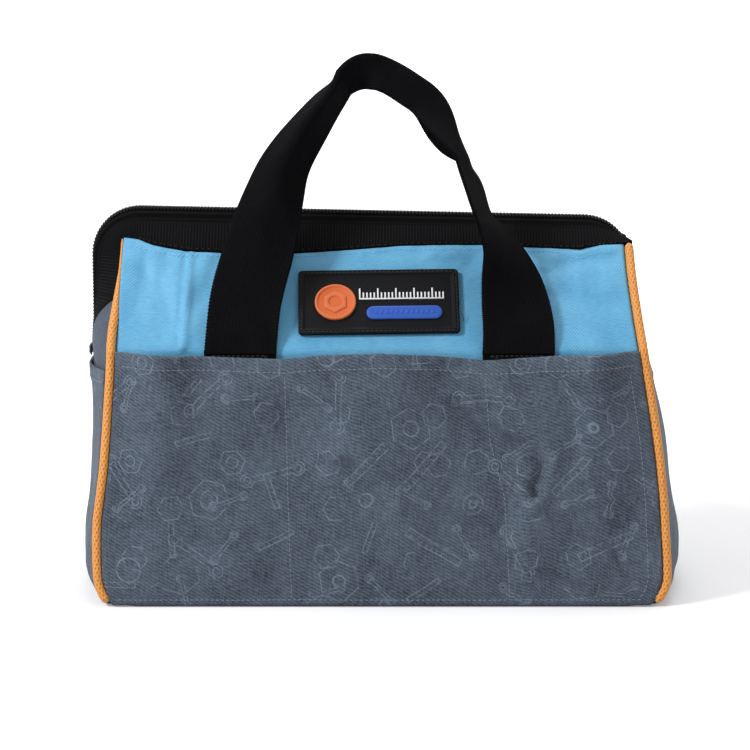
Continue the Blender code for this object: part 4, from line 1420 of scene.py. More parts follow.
@dataclass
class EndWall:
    """An end panel, its outside pocket and the tab over the end of the zip."""

    end: End
    pocket_open: float
    cloth: float = 1.1 * MM
    split: float = 11 * MM
    centre_top: float = 125.5 * MM
    half_inset: Pair = (0.3 * MM, 0.9 * MM)
    long_waves: Pair = (28 * MM, 0.9 * MM)
    short_waves: Pair = (12 * MM, 0.3 * MM)
    calm_edge: float = 14 * MM
    calm_top: float = 30 * MM
    puff: float = 0.0
    puff_height: Pair = (112 * MM, 20 * MM)
    puff_width: float = 26 * MM
    foot: float = 0.8 * MM
    pocket_height: float = 118 * MM
    pocket_sag: float = 2.0 * MM
    pocket_offset: float = 1.9 * MM
    pocket_long_waves: Pair = (30 * MM, 1.1 * MM)
    pocket_short_waves: Pair = (12 * MM, 0.35 * MM)
    slump: float = 1.4 * MM
    slump_height: Pair = (30 * MM, 16 * MM)
    hem_width: float = 8 * MM
    hem_extra: float = 0.5 * MM
    hem_fade: float = 1.5 * MM
    stitch_inset: float = 1.2 * MM
    tab_width: float = 23 * MM
    tab_reach: float = 9 * MM
    tab_top: float = 127 * MM
    tab_cloth: float = 1.1 * MM
    tab_room: float = 1.2 * MM
    tab_round: float = 0.8 * MM
    tab_stitch_pitch: float = 2.2 * MM

    @property
    def outward(self) -> Vector:
        """Which way the end looks."""
        return Vector((self.end.value, 0, 0))

    def skin_x(self, y: float, z: float) -> float:
        """The end panel's middle surface with its wrinkles.

        Args:
            y: Place from front to back, in metres.
            z: Height, in metres.

        Returns:
            The surface's x.
        """
        calm = ease((BAG.gusset_reach(z) - abs(y)) / self.calm_edge)
        calm *= ease((BAG.line_height + self.calm_top - z) / self.calm_top)
        spot = Vector((self.end.value * 0.3, y, z))
        puff = self.puff * hill(z, *self.puff_height) * hill(y, 0, self.puff_width)
        wrinkle = crumple(spot, *self.long_waves) + crumple(spot, *self.short_waves)
        return BAG.gusset_x(self.end, y, z) + self.end.value * (puff + calm * wrinkle)

    def centre_place(self, u: float, v: float) -> Vector:
        """The middle of the end panel, up to the end of the zip.

        Args:
            u: Share across.
            v: Share up.

        Returns:
            The point.
        """
        z = mix(BAG.wall_foot(), self.centre_top, v)
        y = mix(-self.split, self.split, u)
        return Vector((self.skin_x(y, z), y, z))

    def half_place(self, face: Face) -> Place:
        """The front or back part of the end panel, from the base to the mouth.

        Args:
            face: The long wall that the part meets.

        Returns:
            Its middle surface.
        """

        def place(u: float, v: float) -> Vector:
            """The middle surface, from the corner seam at u 0 to behind the mouth band at 1.

            Args:
                u: Share across.
                v: Share up.

            Returns:
                The point.
            """
            z = mix(BAG.wall_foot(), BAG.line_height + BAG.side_band_rise, v)
            reach = BAG.gusset_reach(z)
            band, seam = self.half_inset
            y = mix(reach, min(BAG.side_band_y(z) - band, reach - seam), u)
            return facing(face, Vector((self.skin_x(y, z), -y, z)))

        return place

    def pocket_place(self, u: float, v: float) -> Vector:
        """The outside pocket's middle surface.

        Args:
            u: Share across.
            v: Share up.

        Returns:
            The point.
        """
        sag = self.pocket_sag * math.sin(math.pi * u)
        z = mix(self.foot, BAG.side_pocket_height - sag, v)
        y = mix(-BAG.gusset_reach(z), BAG.gusset_reach(z), u)
        opened = math.sin(u * math.pi) ** 2 * math.sqrt(v)
        puff = self.puff * hill(y, 0, self.puff_width) * v**6
        offset = self.pocket_offset + self.pocket_open * opened + puff
        calm = ease(min(u, 1 - u) / 0.12) * ease(v / 0.12)
        spot = Vector((self.end.value * 0.2, y, z))
        wrinkle = crumple(spot, *self.pocket_long_waves) + crumple(spot, *self.pocket_short_waves)
        slump = self.slump * hill(z, *self.slump_height) * math.sin(math.pi * u)
        x = BAG.gusset_x(self.end, y, z) + self.end.value * (offset + (wrinkle + slump) * calm)
        return Vector((x, y, z))

    def tab_place(self, u: float, v: float) -> Vector:
        """The tab's middle surface.

        Args:
            u: Share across.
            v: Share up.

        Returns:
            The point.
        """
        z = mix(BAG.line_height - self.tab_reach, self.tab_top, v)
        y = mix(-self.tab_width, self.tab_width, u) / 2
        round_off = self.tab_round * (1 - math.sin(math.pi * clamp(0.5 + (v - 0.5) * 0.96)))
        offset = (BAG.fabric + self.tab_room) / 2 + 2 * BAG.gap - round_off * 0.4
        return Vector((self.skin_x(y, z) + self.end.value * offset, y, z))

    def build_pocket(self, finishes: Finishes) -> list[Piece]:
        """Makes the outside pocket and its stitches.

        Args:
            finishes: The bag's materials.

        Returns:
            The pieces.
        """
        name = label(self.end)

        def hem_swell(u: float, v: float) -> float:
            """The turned hem is thicker."""
            below = (1 - v) * self.pocket_height
            return self.hem_extra * (1 - ease((below - self.hem_width) / self.hem_fade))

        pocket = sheet(f"{name}_side_pocket_cloth", self.pocket_place, even(84), even(60), self.cloth,
                       (finishes.slate, finishes.lining), self.outward, hem_swell)
        sew(pocket, "slate_fabric", f"{name}_side_pocket")
        rings = Rings()
        hem_v = 1 - (self.hem_width - self.stitch_inset) / self.pocket_height
        for v, extra in ((hem_v, self.hem_extra), (0.03, 0.0)):
            row = between((0.03, v), (0.97, v), 90)
            stitch_row(rings, on_sheet(self.pocket_place, row, self.outward, self.cloth / 2 + extra))
        thread = sew(rings.piece(f"{name}_side_stitches", [finishes.grey_thread]), "slate_fabric")
        return [pocket, thread]

    def build_tab(self, finishes: Finishes) -> list[Piece]:
        """Makes the tab over the end of the zip and its box of stitches.

        Args:
            finishes: The bag's materials.

        Returns:
            The pieces.
        """
        name = label(self.end)
        tab = sheet(f"{name}_zip_tab", self.tab_place, even(16), even(8), self.tab_cloth,
                    [finishes.slate_plain], self.outward)
        sew(tab, "black_ribbed", f"{name}_zip_end_tab")
        lines = BOX_ROWS + BOX_SIDES
        box = stitch_lines(self.tab_place, lines, 12, self.outward, self.tab_cloth / 2, self.tab_stitch_pitch)
        thread = sew(box.piece(f"{name}_tab_stitches", [finishes.grey_thread]), "black_ribbed")
        return [tab, thread]

    def build(self, finishes: Finishes) -> list[Piece]:
        """Makes the end panel in its three parts, the pocket, the tab and their stitches.

        Args:
            finishes: The bag's materials.

        Returns:
            The pieces.
        """
        name = label(self.end)
        two_sided = (finishes.slate_plain, finishes.lining)
        centre = sheet(f"{name}_end_cloth", self.centre_place, even(20), even(44), self.cloth,
                       two_sided, self.outward)
        sew(centre, "slate_fabric", f"{name}_gusset")
        pieces = [centre, *self.build_pocket(finishes), *self.build_tab(finishes)]
        for piece in pieces:
            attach(piece, "shell")
        for face in Face:
            name = label(face, self.end)
            half = sheet(f"{name}_end_cloth", self.half_place(face), even(26), even(90), self.cloth,
                         two_sided, self.outward)
            sew(half, "slate_fabric", f"{name}_upper_gusset")
            fold_with_mouth(half, face)
            pieces.append(half)
        return pieces


@dataclass
class CornerPiping:
    """One braided cord in a corner seam, from the base to the mouth band."""

    face: Face
    end: End
    radius: float = 2.4 * MM
    strand: float = 4.2 * MM
    strand_pairs: float = 3.5
    braid_share: float = 0.15
    core_share: float = 0.87
    sides: int = 24
    step: float = 0.36 * MM
    foot: float = 2.2 * MM
    tip: float = 2 * MM
    lap: float = 0.5 * MM
    pressed: Rise = Rise(146, 26)
    pressed_more: Rise = Rise(170, 12)

    @property
    def top(self) -> float:
        """Where the cord goes in under the mouth band."""
        return BAG.edge_height(BAG.seam_x(self.end, BAG.band_edge)) + self.lap

    def slim(self, z: float) -> float:
        """Thins the front left cord, where the blue cloth wraps over it and presses on it.

        Args:
            z: Height, in metres.

        Returns:
            The share of its thickness that is left.
        """
        if self.face is Face.BACK or self.end is End.RIGHT:
            return 1.0
        return mix(1.0, 0.5, self.pressed.at(z)) - 0.25 * self.pressed_more.at(z)

    def build(self, finishes: Finishes) -> list[Piece]:
        """Makes the cord with its crossing strands.

        Args:
            finishes: The bag's materials.

        Returns:
            The cord alone.
        """
        count = int((self.top - self.foot) / self.step)
        heights = [mix(self.foot, self.top, share) for share in even(count)]
        line = [BAG.piping_point(self.face, self.end, z) for z in heights]
        outward = Vector((self.end.value, self.face.value, 0)).normalized()
        rings, relief, travelled = [], [], 0.0
        for number, middle in enumerate(line):
            before, after = line[max(0, number - 1)], line[min(count, number + 1)]
            tangent = (after - before).normalized()
            travelled += (after - before).length / 2
            first = (outward - tangent * outward.dot(tangent)).normalized()
            second = tangent.cross(first)
            from_tip = 0.7 * min(number, count - number) * self.step / self.tip
            closing = math.sin(math.pi / 2 * clamp(0.3 + from_tip))
            ring, row = [], []
            slim = self.slim(middle.z)
            middle = middle + Vector((self.end.value, 0, 0)) * self.radius * 0.8 * (1 - slim)
            turn = travelled * math.pi / self.strand
            for side in range(self.sides):
                angle = 2 * math.pi * side / self.sides
                wound = self.strand_pairs * angle
                proud = max(abs(math.sin(wound + turn)), abs(math.sin(wound - turn)))
                proud = ease(proud * 2.2 - 1.3)
                reach = self.radius * (self.core_share + self.braid_share * proud) * closing * slim
                ring.append(middle + (first * math.cos(angle) + second * math.sin(angle)) * reach)
                # How proud the strands stand here, which the cord's material turns into painted shade in the
                # hollows
                row.append(proud)
            rings.append(ring)
            relief.append(row)
        mesh = Rings()
        mesh.loft(rings, relief)
        name = label(self.face, self.end)
        cord = mesh.piece(f"{name}_braided_piping", [finishes.cord])
        sew(cord, "orange_cord", f"{name}_piping", f"{name}_upper_piping")
        fold_with_mouth(cord, self.face)
        return [cord]


# A tooth from its root to its tip: distance past the middle plane in millimetres, and share of its size
TOOTH_STEPS = ((-3.0, 0.75), (-2.7, 1.0), (-0.4, 1.0), (0.35, 0.9), (0.6, 0.45))


@dataclass
class MouthHalf:
    """One half of the mouth: the blue panel, the ribbed band, the zip's tape and its teeth."""

    face: Face
    foot: float = 124.4 * MM
    cloth: float = 1.1 * MM
    panel_foot: float = 121.4 * MM
    panel_tuck: float = 2.5 * MM
    corner_tucks: Pair = (1.2 * MM, -0.3 * MM)
    panel_middle: float = -3 * MM
    corner_ramp: Rise = Rise(98, 12)
    long_waves: Pair = (40 * MM, 1.9 * MM)
    short_waves: Pair = (15 * MM, 0.6 * MM)
    pucker: float = 1.3 * MM
    pucker_size: Pair = (6.5 * MM, 70 * MM)
    pucker_ramp: Rise = Rise(148, 30)
    fold_strength: float = 1.6
    badge_half: float = 46 * MM
    badge_top: float = 177 * MM
    foot_calm: Rise = Rise(125, 8)
    top_calm: float = 6 * MM
    sunk: float = 0.9 * MM
    sunk_edge: Rise = Rise(-1, 1.5)
    sunk_right: Rise = Rise(104, 8)
    sunk_right_edge: Rise = Rise(-4, 4)
    over: float = 3.6 * MM
    over_width: float = 9 * MM
    over_ramp: Rise = Rise(136, 26)
    over_end: Rise = Rise(174, 10)
    over_edge: float = -140.4 * MM
    over_edge_ramp: Rise = Rise(136, 20)
    band_cloth: float = 1.2 * MM
    rib: float = 1.65 * MM
    rib_height: float = 0.62 * MM
    band_swell: float = 0.12 * MM
    band_groove: float = 0.3 * MM
    tape_cloth: float = 0.9 * MM
    tape_step: float = 2 * MM
    tape_lap: float = 0.5 * MM
    tape_turn: float = 0.75
    tape_under: Pair = (0.25 * MM, -1.75 * MM)
    tooth: float = 1.9 * MM
    tooth_half: Pair = (0.6 * MM, 1.15 * MM)
    tooth_sides: int = 8
    table_steps: int = 400
    table: list[Pair] = field(default_factory=list)

    def __post_init__(self) -> None:
        """Measures the zip's line, so that ribs and teeth can be spaced evenly along it."""
        length, last = 0.0, None
        for step in range(ZIP_PARTS * self.table_steps + 1):
            walk = step / self.table_steps
            x, z, _, _ = BAG.zip_path(walk, self.foot)
            spot = Vector((x, 0, z))
            length += (spot - last).length if last else 0.0
            last = spot
            self.table.append((length, walk))

    def walks(self, spacing: float, shift: float = 0.0) -> list[float]:
        """Spaces places evenly along the zip's line.

        Args:
            spacing: About how far apart.
            shift: How far the first one lies from the foot, as a share of the spacing.

        Returns:
            The places, as zip_path takes them.
        """
        total = self.table[-1][0]
        count = round(total / spacing)
        lengths = [entry[0] for entry in self.table]
        places = [entry[1] for entry in self.table]
        distances = [(number + shift) * total / count for number in range(count + (shift == 0))]
        return [float(np.interp(distance, lengths, places)) for distance in distances]

    def panel_relief(self, u: float, x: float, z: float) -> float:
        """Waves, puckers and creases of the blue panel, which lies flat behind the badge.

        Args:
            u: Share across.
            x: The same place in metres.
            z: Height, in metres.

        Returns:
            How far they move the cloth out.
        """
        spot = Vector((x, self.face.value * 0.2, z))
        across, up = self.pucker_size
        fine = noise.noise(Vector((x / across, self.face.value * 3.0, z / up)))
        out = crumple(spot, *self.long_waves) + crumple(spot, *self.short_waves)
        out += self.pucker * fine * self.pucker_ramp.at(z)
        if self.face is Face.FRONT:
            out += self.fold_strength * sum(fold.height(x / MM, z / MM) for fold in SKY_FOLDS)
            if abs(x - BADGE_X) < self.badge_half and z < self.badge_top:
                out = min(out, 0.0) * 0.4
        calm = ease(min(u, 1 - u) / 0.03) * self.foot_calm.at(z)
        return out * (calm * ease((BAG.edge_height(x) - z) / self.top_calm + 0.25))

    def panel_place(self, u: float, v: float) -> Vector:
        """The blue panel's middle surface, from behind the pockets to under the band.

        Args:
            u: Share across.
            v: Share up.

        Returns:
            The point.
        """
        guess = BAG.panel_x(u, BAG.band_edge)
        corner = self.corner_tucks[0 if guess < 0 else 1]
        tucked = mix(self.panel_tuck, corner, self.corner_ramp.at(abs(guess - self.panel_middle)))
        z = mix(self.panel_foot, BAG.edge_height(guess) + tucked, v)
        x = BAG.panel_x(u, z)
        above = z - BAG.edge_height(x)
        sunk = self.sunk * self.sunk_edge.at(above)
        sunk += self.sunk * self.sunk_right.at(x) * self.sunk_right_edge.at(above)
        out = self.panel_relief(u, x, z)
        over = 0.0
        if self.face is Face.FRONT:
            over = self.over * (1 - ease((x - BAG.panel_x(0, z)) / self.over_width)) * self.over_ramp.at(z)
            over *= 1 - 0.75 * self.over_end.at(z)
            x = mix(x, self.over_edge, (1 - ease(u / 0.02)) * self.over_edge_ramp.at(z))
        return facing(self.face, Vector((x, -BAG.wall_y(z) - out + sunk - over, z)))

    def rim_place(self, walk: float, low: float, high: float, share: float) -> Vector:
        """Finds a point of the rim between two distances from the band's lower edge.

        Args:
            walk: Place along the zip, as zip_path takes it.
            low: The first distance, or measured down from the teeth when below 0.
            high: The second distance, likewise, with 0 at the teeth.
            share: How far the point lies from the first to the second.

        Returns:
            The point.
        """
        edge, top = BAG.rim_edge(walk, self.foot), BAG.rim_top(walk, self.foot)
        across = (top - edge).length
        start = low if low >= 0 else across + low
        stop = high if high > 0 else across + high
        return facing(self.face, edge.lerp(top, mix(start, stop, share) / across))

    def band_place(self, u: float, v: float) -> Vector:
        """The band's middle surface, from its lower edge to beside the tape."""
        return self.rim_place(u * ZIP_PARTS, 0, -(BAG.tape_width + 2 * BAG.gap), v)

    def tape_place(self, u: float, v: float) -> Vector:
        """The tape's middle surface, whose last part turns in under the teeth.

        Args:
            u: Share of the way along the zip.
            v: Share up.

        Returns:
            The point.
        """
        walk = u * ZIP_PARTS
        low = -(BAG.tape_width + 3 * BAG.gap + self.tape_lap)
        if v <= self.tape_turn:
            return self.rim_place(walk, low, 0, v / self.tape_turn)
        deep, y = self.tape_under
        x, z, normal_x, normal_z = BAG.zip_path(walk, self.foot)
        under = facing(self.face, Vector((x - normal_x * deep, y, z - normal_z * deep)))
        return self.rim_place(walk, low, 0, 1.0).lerp(under, (v - self.tape_turn) / (1 - self.tape_turn))

    def build_panel(self, finishes: Finishes) -> list[Piece]:
        """Makes the blue panel and its stitches under the band.

        Args:
            finishes: The bag's materials.

        Returns:
            The pieces.
        """
        outward = Vector((0, self.face.value, 0.5))
        name = label(self.face)
        panel = sheet(f"{name}_sky_cloth", self.panel_place, even(170), even(40), self.cloth,
                      (finishes.sky, finishes.lining), outward)
        sew(panel, "sky_fabric", f"{name}_upper_panel")
        rings = Rings()
        row = between((0.01, 0.93), (0.99, 0.93), 170)
        stitch_row(rings, on_sheet(self.panel_place, row, outward, self.cloth / 2))
        thread = rings.piece(f"{name}_sky_stitches", [finishes.blue_thread])
        return [panel, sew(thread, "sky_fabric")]

    def build_rim(self, finishes: Finishes) -> list[Piece]:
        """Makes the ribbed band, the smooth tape and the band's stitches.

        Args:
            finishes: The bag's materials.

        Returns:
            The pieces.
        """
        name = label(self.face)
        outward = Vector((0, self.face.value, 0.4))
        shares = [walk / ZIP_PARTS for walk in self.walks(self.rib / 4)]
        numbers = {share: number for number, share in enumerate(shares)}

        def ribs(u: float, v: float) -> float:
            """The height of the ribs, which fade at a plain edge.

            Args:
                u: Share of the way along the zip.
                v: Share up.

            Returns:
                The height.
            """
            crest = (0.0, 0.5, 1.0, 0.5)[numbers[u] % 4]
            plain = ease(v / 0.05) * ease((0.93 - v) / 0.08)
            groove = self.band_groove * bump(v, 0.94, 0.06)
            swell = self.band_swell * math.sin(math.pi * v)
            return max(0.0, self.rib_height * crest * plain + swell - groove)

        band = sheet(f"{name}_ribbed_band", self.band_place, shares, even(14), self.band_cloth,
                     [finishes.ribbed], outward, ribs)
        sew(band, "black_ribbed", f"{name}_mouth_band")

        def cord_swell(u: float, v: float) -> float:
            """The woven edge beside the teeth and the fold beside the band."""
            return 0.3 * MM * bump(v, 0.64, 0.1) + 0.25 * MM * bump(v, 0.08, 0.1)

        tape_shares = [walk / ZIP_PARTS for walk in self.walks(self.tape_step)]
        tape = sheet(f"{name}_smooth_tape", self.tape_place, tape_shares, even(12), self.tape_cloth,
                     [finishes.ribbed], outward, cord_swell)
        sew(tape, "black_ribbed", f"{name}_zip_tape")
        rings = Rings()
        row = between((0.02, 0.09), (0.98, 0.09), 420)
        path = on_sheet(self.band_place, row, outward, self.band_cloth / 2)
        stitch_row(rings, path, pitch=3.0 * MM)
        thread = sew(rings.piece(f"{name}_band_stitches", [finishes.black_thread]), "black_ribbed")
        return [band, tape, thread]

    def build_teeth(self, finishes: Finishes) -> list[Piece]:
        """Makes the teeth, which lie between those of the other half.

        Args:
            finishes: The bag's materials.

        Returns:
            The row of teeth alone.
        """
        rings = Rings()
        shift = 0.25 if self.face is Face.FRONT else 0.75
        half_length, half_height = self.tooth_half
        for walk in self.walks(self.tooth, shift):
            x, z, normal_x, normal_z = BAG.zip_path(walk, self.foot)
            normal = Vector((normal_x, 0, normal_z))
            along = Vector((normal_z, 0, -normal_x))
            row = []
            for y, size in TOOTH_STEPS:
                middle = facing(self.face, Vector((x, y * MM, z)))
                first, second = along * half_length * size, normal * half_height * size
                row.append(round_ring(middle, first, second, self.tooth_sides))
            rings.loft(row)
        teeth = rings.piece(f"{label(self.face)}_zip_teeth", [finishes.nylon])
        return [sew(teeth, "black_nylon", f"{label(self.face)}_zip_coil")]

    def build(self, finishes: Finishes) -> list[Piece]:
        """Makes the whole half and bakes each piece's placement into its mesh.

        Args:
            finishes: The bag's materials.

        Returns:
            The pieces.
        """
        pieces = self.build_panel(finishes) + self.build_rim(finishes) + self.build_teeth(finishes)
        for piece in pieces:
            fold_with_mouth(piece, self.face)
        return pieces


# A handle's middle line from foot to foot, as shares of half its span and of its rise
HANDLE_LINE = (
    (-0.80, 0.00), (-0.77, 0.18), (-0.70, 0.34), (-0.62, 0.52), (-0.55, 0.64), (-0.42, 0.76), (-0.26, 0.88),
    (-0.11, 0.94), (0.04, 0.93), (0.16, 0.89), (0.29, 0.83), (0.40, 0.71), (0.52, 0.60), (0.59, 0.48),
    (0.66, 0.41), (0.73, 0.33), (0.77, 0.23), (0.80, 0.10), (0.80, 0.00),
)
# At each of those places, in degrees, how far the outer and the inner half of the webbing turn out of the
# handle's plane as it goes from its outer edge to its inner one
FRONT_TURNS = (
    (0, 0), (0, 0), (15, -15), (38, -38), (50, -52), (60, -60), (74, -70), (130, -40), (176, 0), (178, 2),
    (176, 6), (130, 40), (75, 66), (70, 70), (61, 61), (48, 48), (27, 27), (6, 6), (0, 0),
)
BACK_TURNS = (
    (0, 0), (0, 0), (-4, 0), (-30, 0), (-105, 0), (-168, 0), (-176, 0), (-176, 0), (-176, 2), (-176, 2),
    (-176, 0), (-160, 0), (-80, 0), (-20, 0), (0, 0), (0, 0), (0, 0), (0, 0), (0, 0),
)
# Where points lie across the webbing, from its outer edge to its middle, as shares of its width
WEBBING_ROWS = (0, 0.02, 0.06, 0.12, 0.2, 0.29, 0.37, 0.42, 0.45, 0.47, 0.485, 0.5)


@dataclass
class Handle:
    """A loop of webbing whose grip is folded lengthwise, and its two sewn ends behind the pocket hem."""

    face: Face
    swing: float
    bend: float
    turns: Line
    bend_length: float = 80 * MM
    webbing: float = 38 * MM
    thickness: float = 1.6 * MM
    span: float = 184 * MM
    shift: float = -1.2 * MM
    rise: float = 165 * MM
    lean: float = math.radians(20)
    foot_outset: float = 2.9 * MM
    foot_drop: float = 1 * MM
    selvedge: float = 1.35 * MM
    weft_loop: float = 0.008
    length: float = 470 * MM
    soft_crease: float = 9 * MM
    tight_crease: float = 1.45 * MM
    section_points: int = 153
    anchor_length: float = 14 * MM
    anchor_rise: float = 0.7 * MM
    anchor_thickness: float = 2 * MM
    anchor_lean: float = 0.5 * MM
    box_stitch_pitch: float = 2.6 * MM
    sections: dict[float, np.ndarray] = field(default_factory=dict)

    def smooth(self, table: Sequence[Sequence[float]], share: float, column: int) -> float:
        """Reads one column of a table by a smooth curve, at a share of the way from foot to foot.

        Args:
            table: The rows, evenly spaced.
            share: 0 at the first row to 1 at the last.
            column: Which column.

        Returns:
            The value there.
        """
        count = len(table)
        place = share * (count - 1)
        first = min(int(place), count - 2)
        t = place - first
        a, b, c, d = (table[min(max(first + step, 0), count - 1)][column] for step in (-1, 0, 1, 2))
        return b + t * ((c - a) + t * ((2 * a - 5 * b + 4 * c - d) + t * (3 * (b - c) + d - a))) / 2

    def middle(self, share: float) -> Vector:
        """The webbing's middle line in the handle's plane."""
        across = self.smooth(HANDLE_LINE, share, 0) * self.span / 2 + self.shift
        return Vector((across, self.smooth(HANDLE_LINE, share, 1) * self.rise))

    def section(self, share: float) -> np.ndarray:
        """The webbing's cross-section at one place.

        Args:
            share: 0 at the left foot to 1 at the right one.

        Returns:
            Three rows with a value for each point from the outer edge to the inner one: its share of the
            width, how far across it lies, and how far out.
        """
        if share not in self.sections:
            outer = math.radians(self.smooth(self.turns, share, 0))
            inner = math.radians(self.smooth(self.turns, share, 1))
            crease = mix(self.soft_crease, self.tight_crease, ease(abs(outer - inner) / 2.6))
            place = np.linspace(-self.webbing / 2, self.webbing / 2, self.section_points)
            angles = mix(outer, inner, 0.5 + 0.5 * np.tanh(place / crease))
            step = place[1] - place[0]
            across = np.cumsum(np.cos(angles)) * step
            out = np.cumsum(np.sin(angles)) * step
            across -= (across.max() + across.min()) / 2
            out -= (out.max() + out.min()) / 2
            self.sections[share] = np.stack([place / self.webbing + 0.5, across, out])
        return self.sections[share]

    def place(self, u: float, v: float) -> Vector:
        """The webbing's middle surface.

        Args:
            u: Share of the way from foot to foot.
            v: Share of the way across the webbing.

        Returns:
            The point.
        """
        step = 0.012
        middle = self.middle(u)
        tangent = self.middle(min(1, u + step)) - self.middle(max(0, u - step))
        across = Vector((tangent.y, -tangent.x)).normalized()
        level = Vector((1 if u < 0.5 else -1, 0))
        across = level.lerp(across, min(1, middle.y / self.webbing)).normalized()
        shares, flat, out = self.section(u)
        past = v - clamp(v)
        spot = middle + across * (float(np.interp(v, shares, flat)) + past * self.webbing)
        return self.swung(spot.x, spot.y, float(np.interp(v, shares, out)))

    def hung(self, up: float, depth: float) -> Pair:
        """Along and out of the handle's plane, for a point of a handle that bends under its own weight.

        Args:
            up: Distance up the straight handle.
            depth: Distance out of its plane.

        Returns:
            Both distances.
        """
        if not self.bend:
            return up, depth
        curved = min(max(up, 0.0), self.bend_length)
        angle = self.bend * curved / self.bend_length
        radius = self.bend_length / self.bend
        along = (radius - depth) * math.sin(angle) + (up - curved) * math.cos(angle)
        out = radius - (radius - depth) * math.cos(angle) + (up - curved) * math.sin(angle)
        return along, out

    def swung(self, x: float, up: float, depth: float) -> Vector:
        """A point of the leaning handle, given across, up and outwards, swung to where it rests.

        Args:
            x: Place across.
            up: Distance up the straight handle.
            depth: Distance out of its plane.

        Returns:
            The point.
        """
        along, out = self.hung(up, depth)
        foot = Vector((0, -BAG.line_depth / 2 - self.foot_outset, BAG.line_height - self.foot_drop))
        rise = Vector((0, math.sin(self.lean), math.cos(self.lean)))
        outward = Vector((0, -math.cos(self.lean), math.sin(self.lean)))
        point = Vector((x, 0, 0)) + foot + rise * along + outward * out
        pivot = BAG.mouth_axis()
        turn = Matrix.Rotation(self.swing, 4, "X")
        return facing(self.face, pivot + turn @ (point - pivot))

    def anchor_place(self, end: End) -> Place:
        """The sewn end of the webbing, flat on the wall.

        Args:
            end: Which leg of the handle.

        Returns:
            Its middle surface.
        """
        top = BAG.line_height + self.anchor_rise
        middle = self.shift + end.value * HANDLE_LINE[-1][0] * self.span / 2

        def place(u: float, v: float) -> Vector:
            """The middle surface, nearer to the wall towards its top.

            Args:
                u: Share across.
                v: Share up.

            Returns:
                The point.
            """
            z = mix(top - self.anchor_length, top, v)
            y = BAG.wall_y(z) + (BAG.fabric + self.anchor_thickness) / 2 + BAG.gap - self.anchor_lean * v
            return Vector((middle + mix(-self.webbing, self.webbing, u) / 2, self.face.value * y, z))

        return place

    def build_anchors(self, finishes: Finishes) -> list[Piece]:
        """Makes both sewn ends with their crossed stitches.

        Args:
            finishes: The bag's materials.

        Returns:
            The pieces.
        """
        pieces = []
        away = Vector((0, self.face.value, 0))
        for end in End:
            name = label(self.face, end)
            place = self.anchor_place(end)
            anchor = sheet(f"{name}_sewn_end", place, even(24), even(10), self.anchor_thickness,
                           [finishes.webbing], away)
            sew(anchor, "black_webbing", f"{name}_handle_anchor")
            lines = BOX_ROWS + BOX_CROSS
            box = stitch_lines(place, lines, 20, away, self.anchor_thickness / 2, self.box_stitch_pitch)
            thread = sew(box.piece(f"{name}_box_stitches", [finishes.black_thread]), "black_webbing")
            for piece in (anchor, thread):
                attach(piece, "shell")
                pieces.append(piece)
        return pieces

    def build(self, finishes: Finishes) -> list[Piece]:
        """Makes the loop with its toothed edges, and the sewn ends with their stitches.

        Args:
            finishes: The bag's materials.

        Returns:
            The pieces.
        """
        name = label(self.face)
        shares = even(int(self.length / self.selvedge * 3))
        numbers = {share: number for number, share in enumerate(shares)}
        rows = [*WEBBING_ROWS, *(1 - row for row in reversed(WEBBING_ROWS[:-1]))]

        def toothed(u: float, v: float) -> Vector:
            """The middle surface with the weft's small loops at both edges."""
            loop = self.weft_loop * (1, 0.2, -1)[numbers[u] % 3]
            return self.place(u, v - loop if v == 0 else v + loop if v == 1 else v)

        def ridges(u: float, v: float) -> float:
            """The weft's ridges, higher in the edges."""
            edge = bump(v, 0.0, 0.09) + bump(v, 1.0, 0.09)
            return (0.08 + 0.34 * edge) * MM * (0, 0.7, 1)[numbers[u] % 3]

        outward = facing(self.face, Vector((0, -math.cos(self.swing), math.sin(self.swing) * 0.2 + 0.1)))
        loop = sheet(f"{name}_webbing_handle", toothed, shares, rows, self.thickness,
                     [finishes.webbing], outward, ridges)
        sew(loop, "black_webbing", f"{name}_handle")
        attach(loop, f"{name}_handle")
        return [loop, *self.build_anchors(finishes)]


# Rings of the badge's pieces, in millimetres: how far each is drawn in, or its radius, and its height
PLATE_STEPS = (
    (0.5, 0.0), (0.0, 0.35), (0.0, 1.7), (0.25, 2.15), (0.7, 2.4), (1.1, 2.35), (1.3, 1.95), (1.65, 1.95),
    (1.85, 2.35), (2.3, 2.4), (2.75, 2.2), (3.0, 1.75), (3.15, 1.4), (4.5, 1.4), (8.0, 1.4), (14.0, 1.4),
    (19.0, 1.4),
)
DISC_STEPS = ((11, 0), (11, 1.2), (10.75, 1.5), (10.2, 1.6), (9.7, 1.5), (9.5, 1.05), (9.2, 0.9), (2, 0.9))
NUT_STEPS = ((6.8, 0.7, 6), (6.8, 1.25, 6), (6.5, 1.45, 6), (3.9, 1.45, 0), (3.6, 1.3, 0), (3.5, 0.75, 0))
PILL_STEPS = ((0.0, 0.0), (0.0, 0.8), (0.3, 1.2), (0.9, 1.4), (2.0, 1.4), (3.5, 1.4))
STUD_STEPS = ((1.5, 1.3), (1.4, 1.6), (1.0, 1.7))
BAR_STEPS = ((0, -0.1), (0, 0.45), (0.15, 0.6))
# A loose end of thread at the badge's right edge: across, up and out, in millimetres
LOOSE_END = (
    (41.6, -7.0, 1.8), (42.8, -7.3, 2.6), (43.9, -8.3, 2.9), (44.4, -9.6, 2.3), (44.9, -11.0, 1.0),
    (45.2, -12.2, 0.4),
)


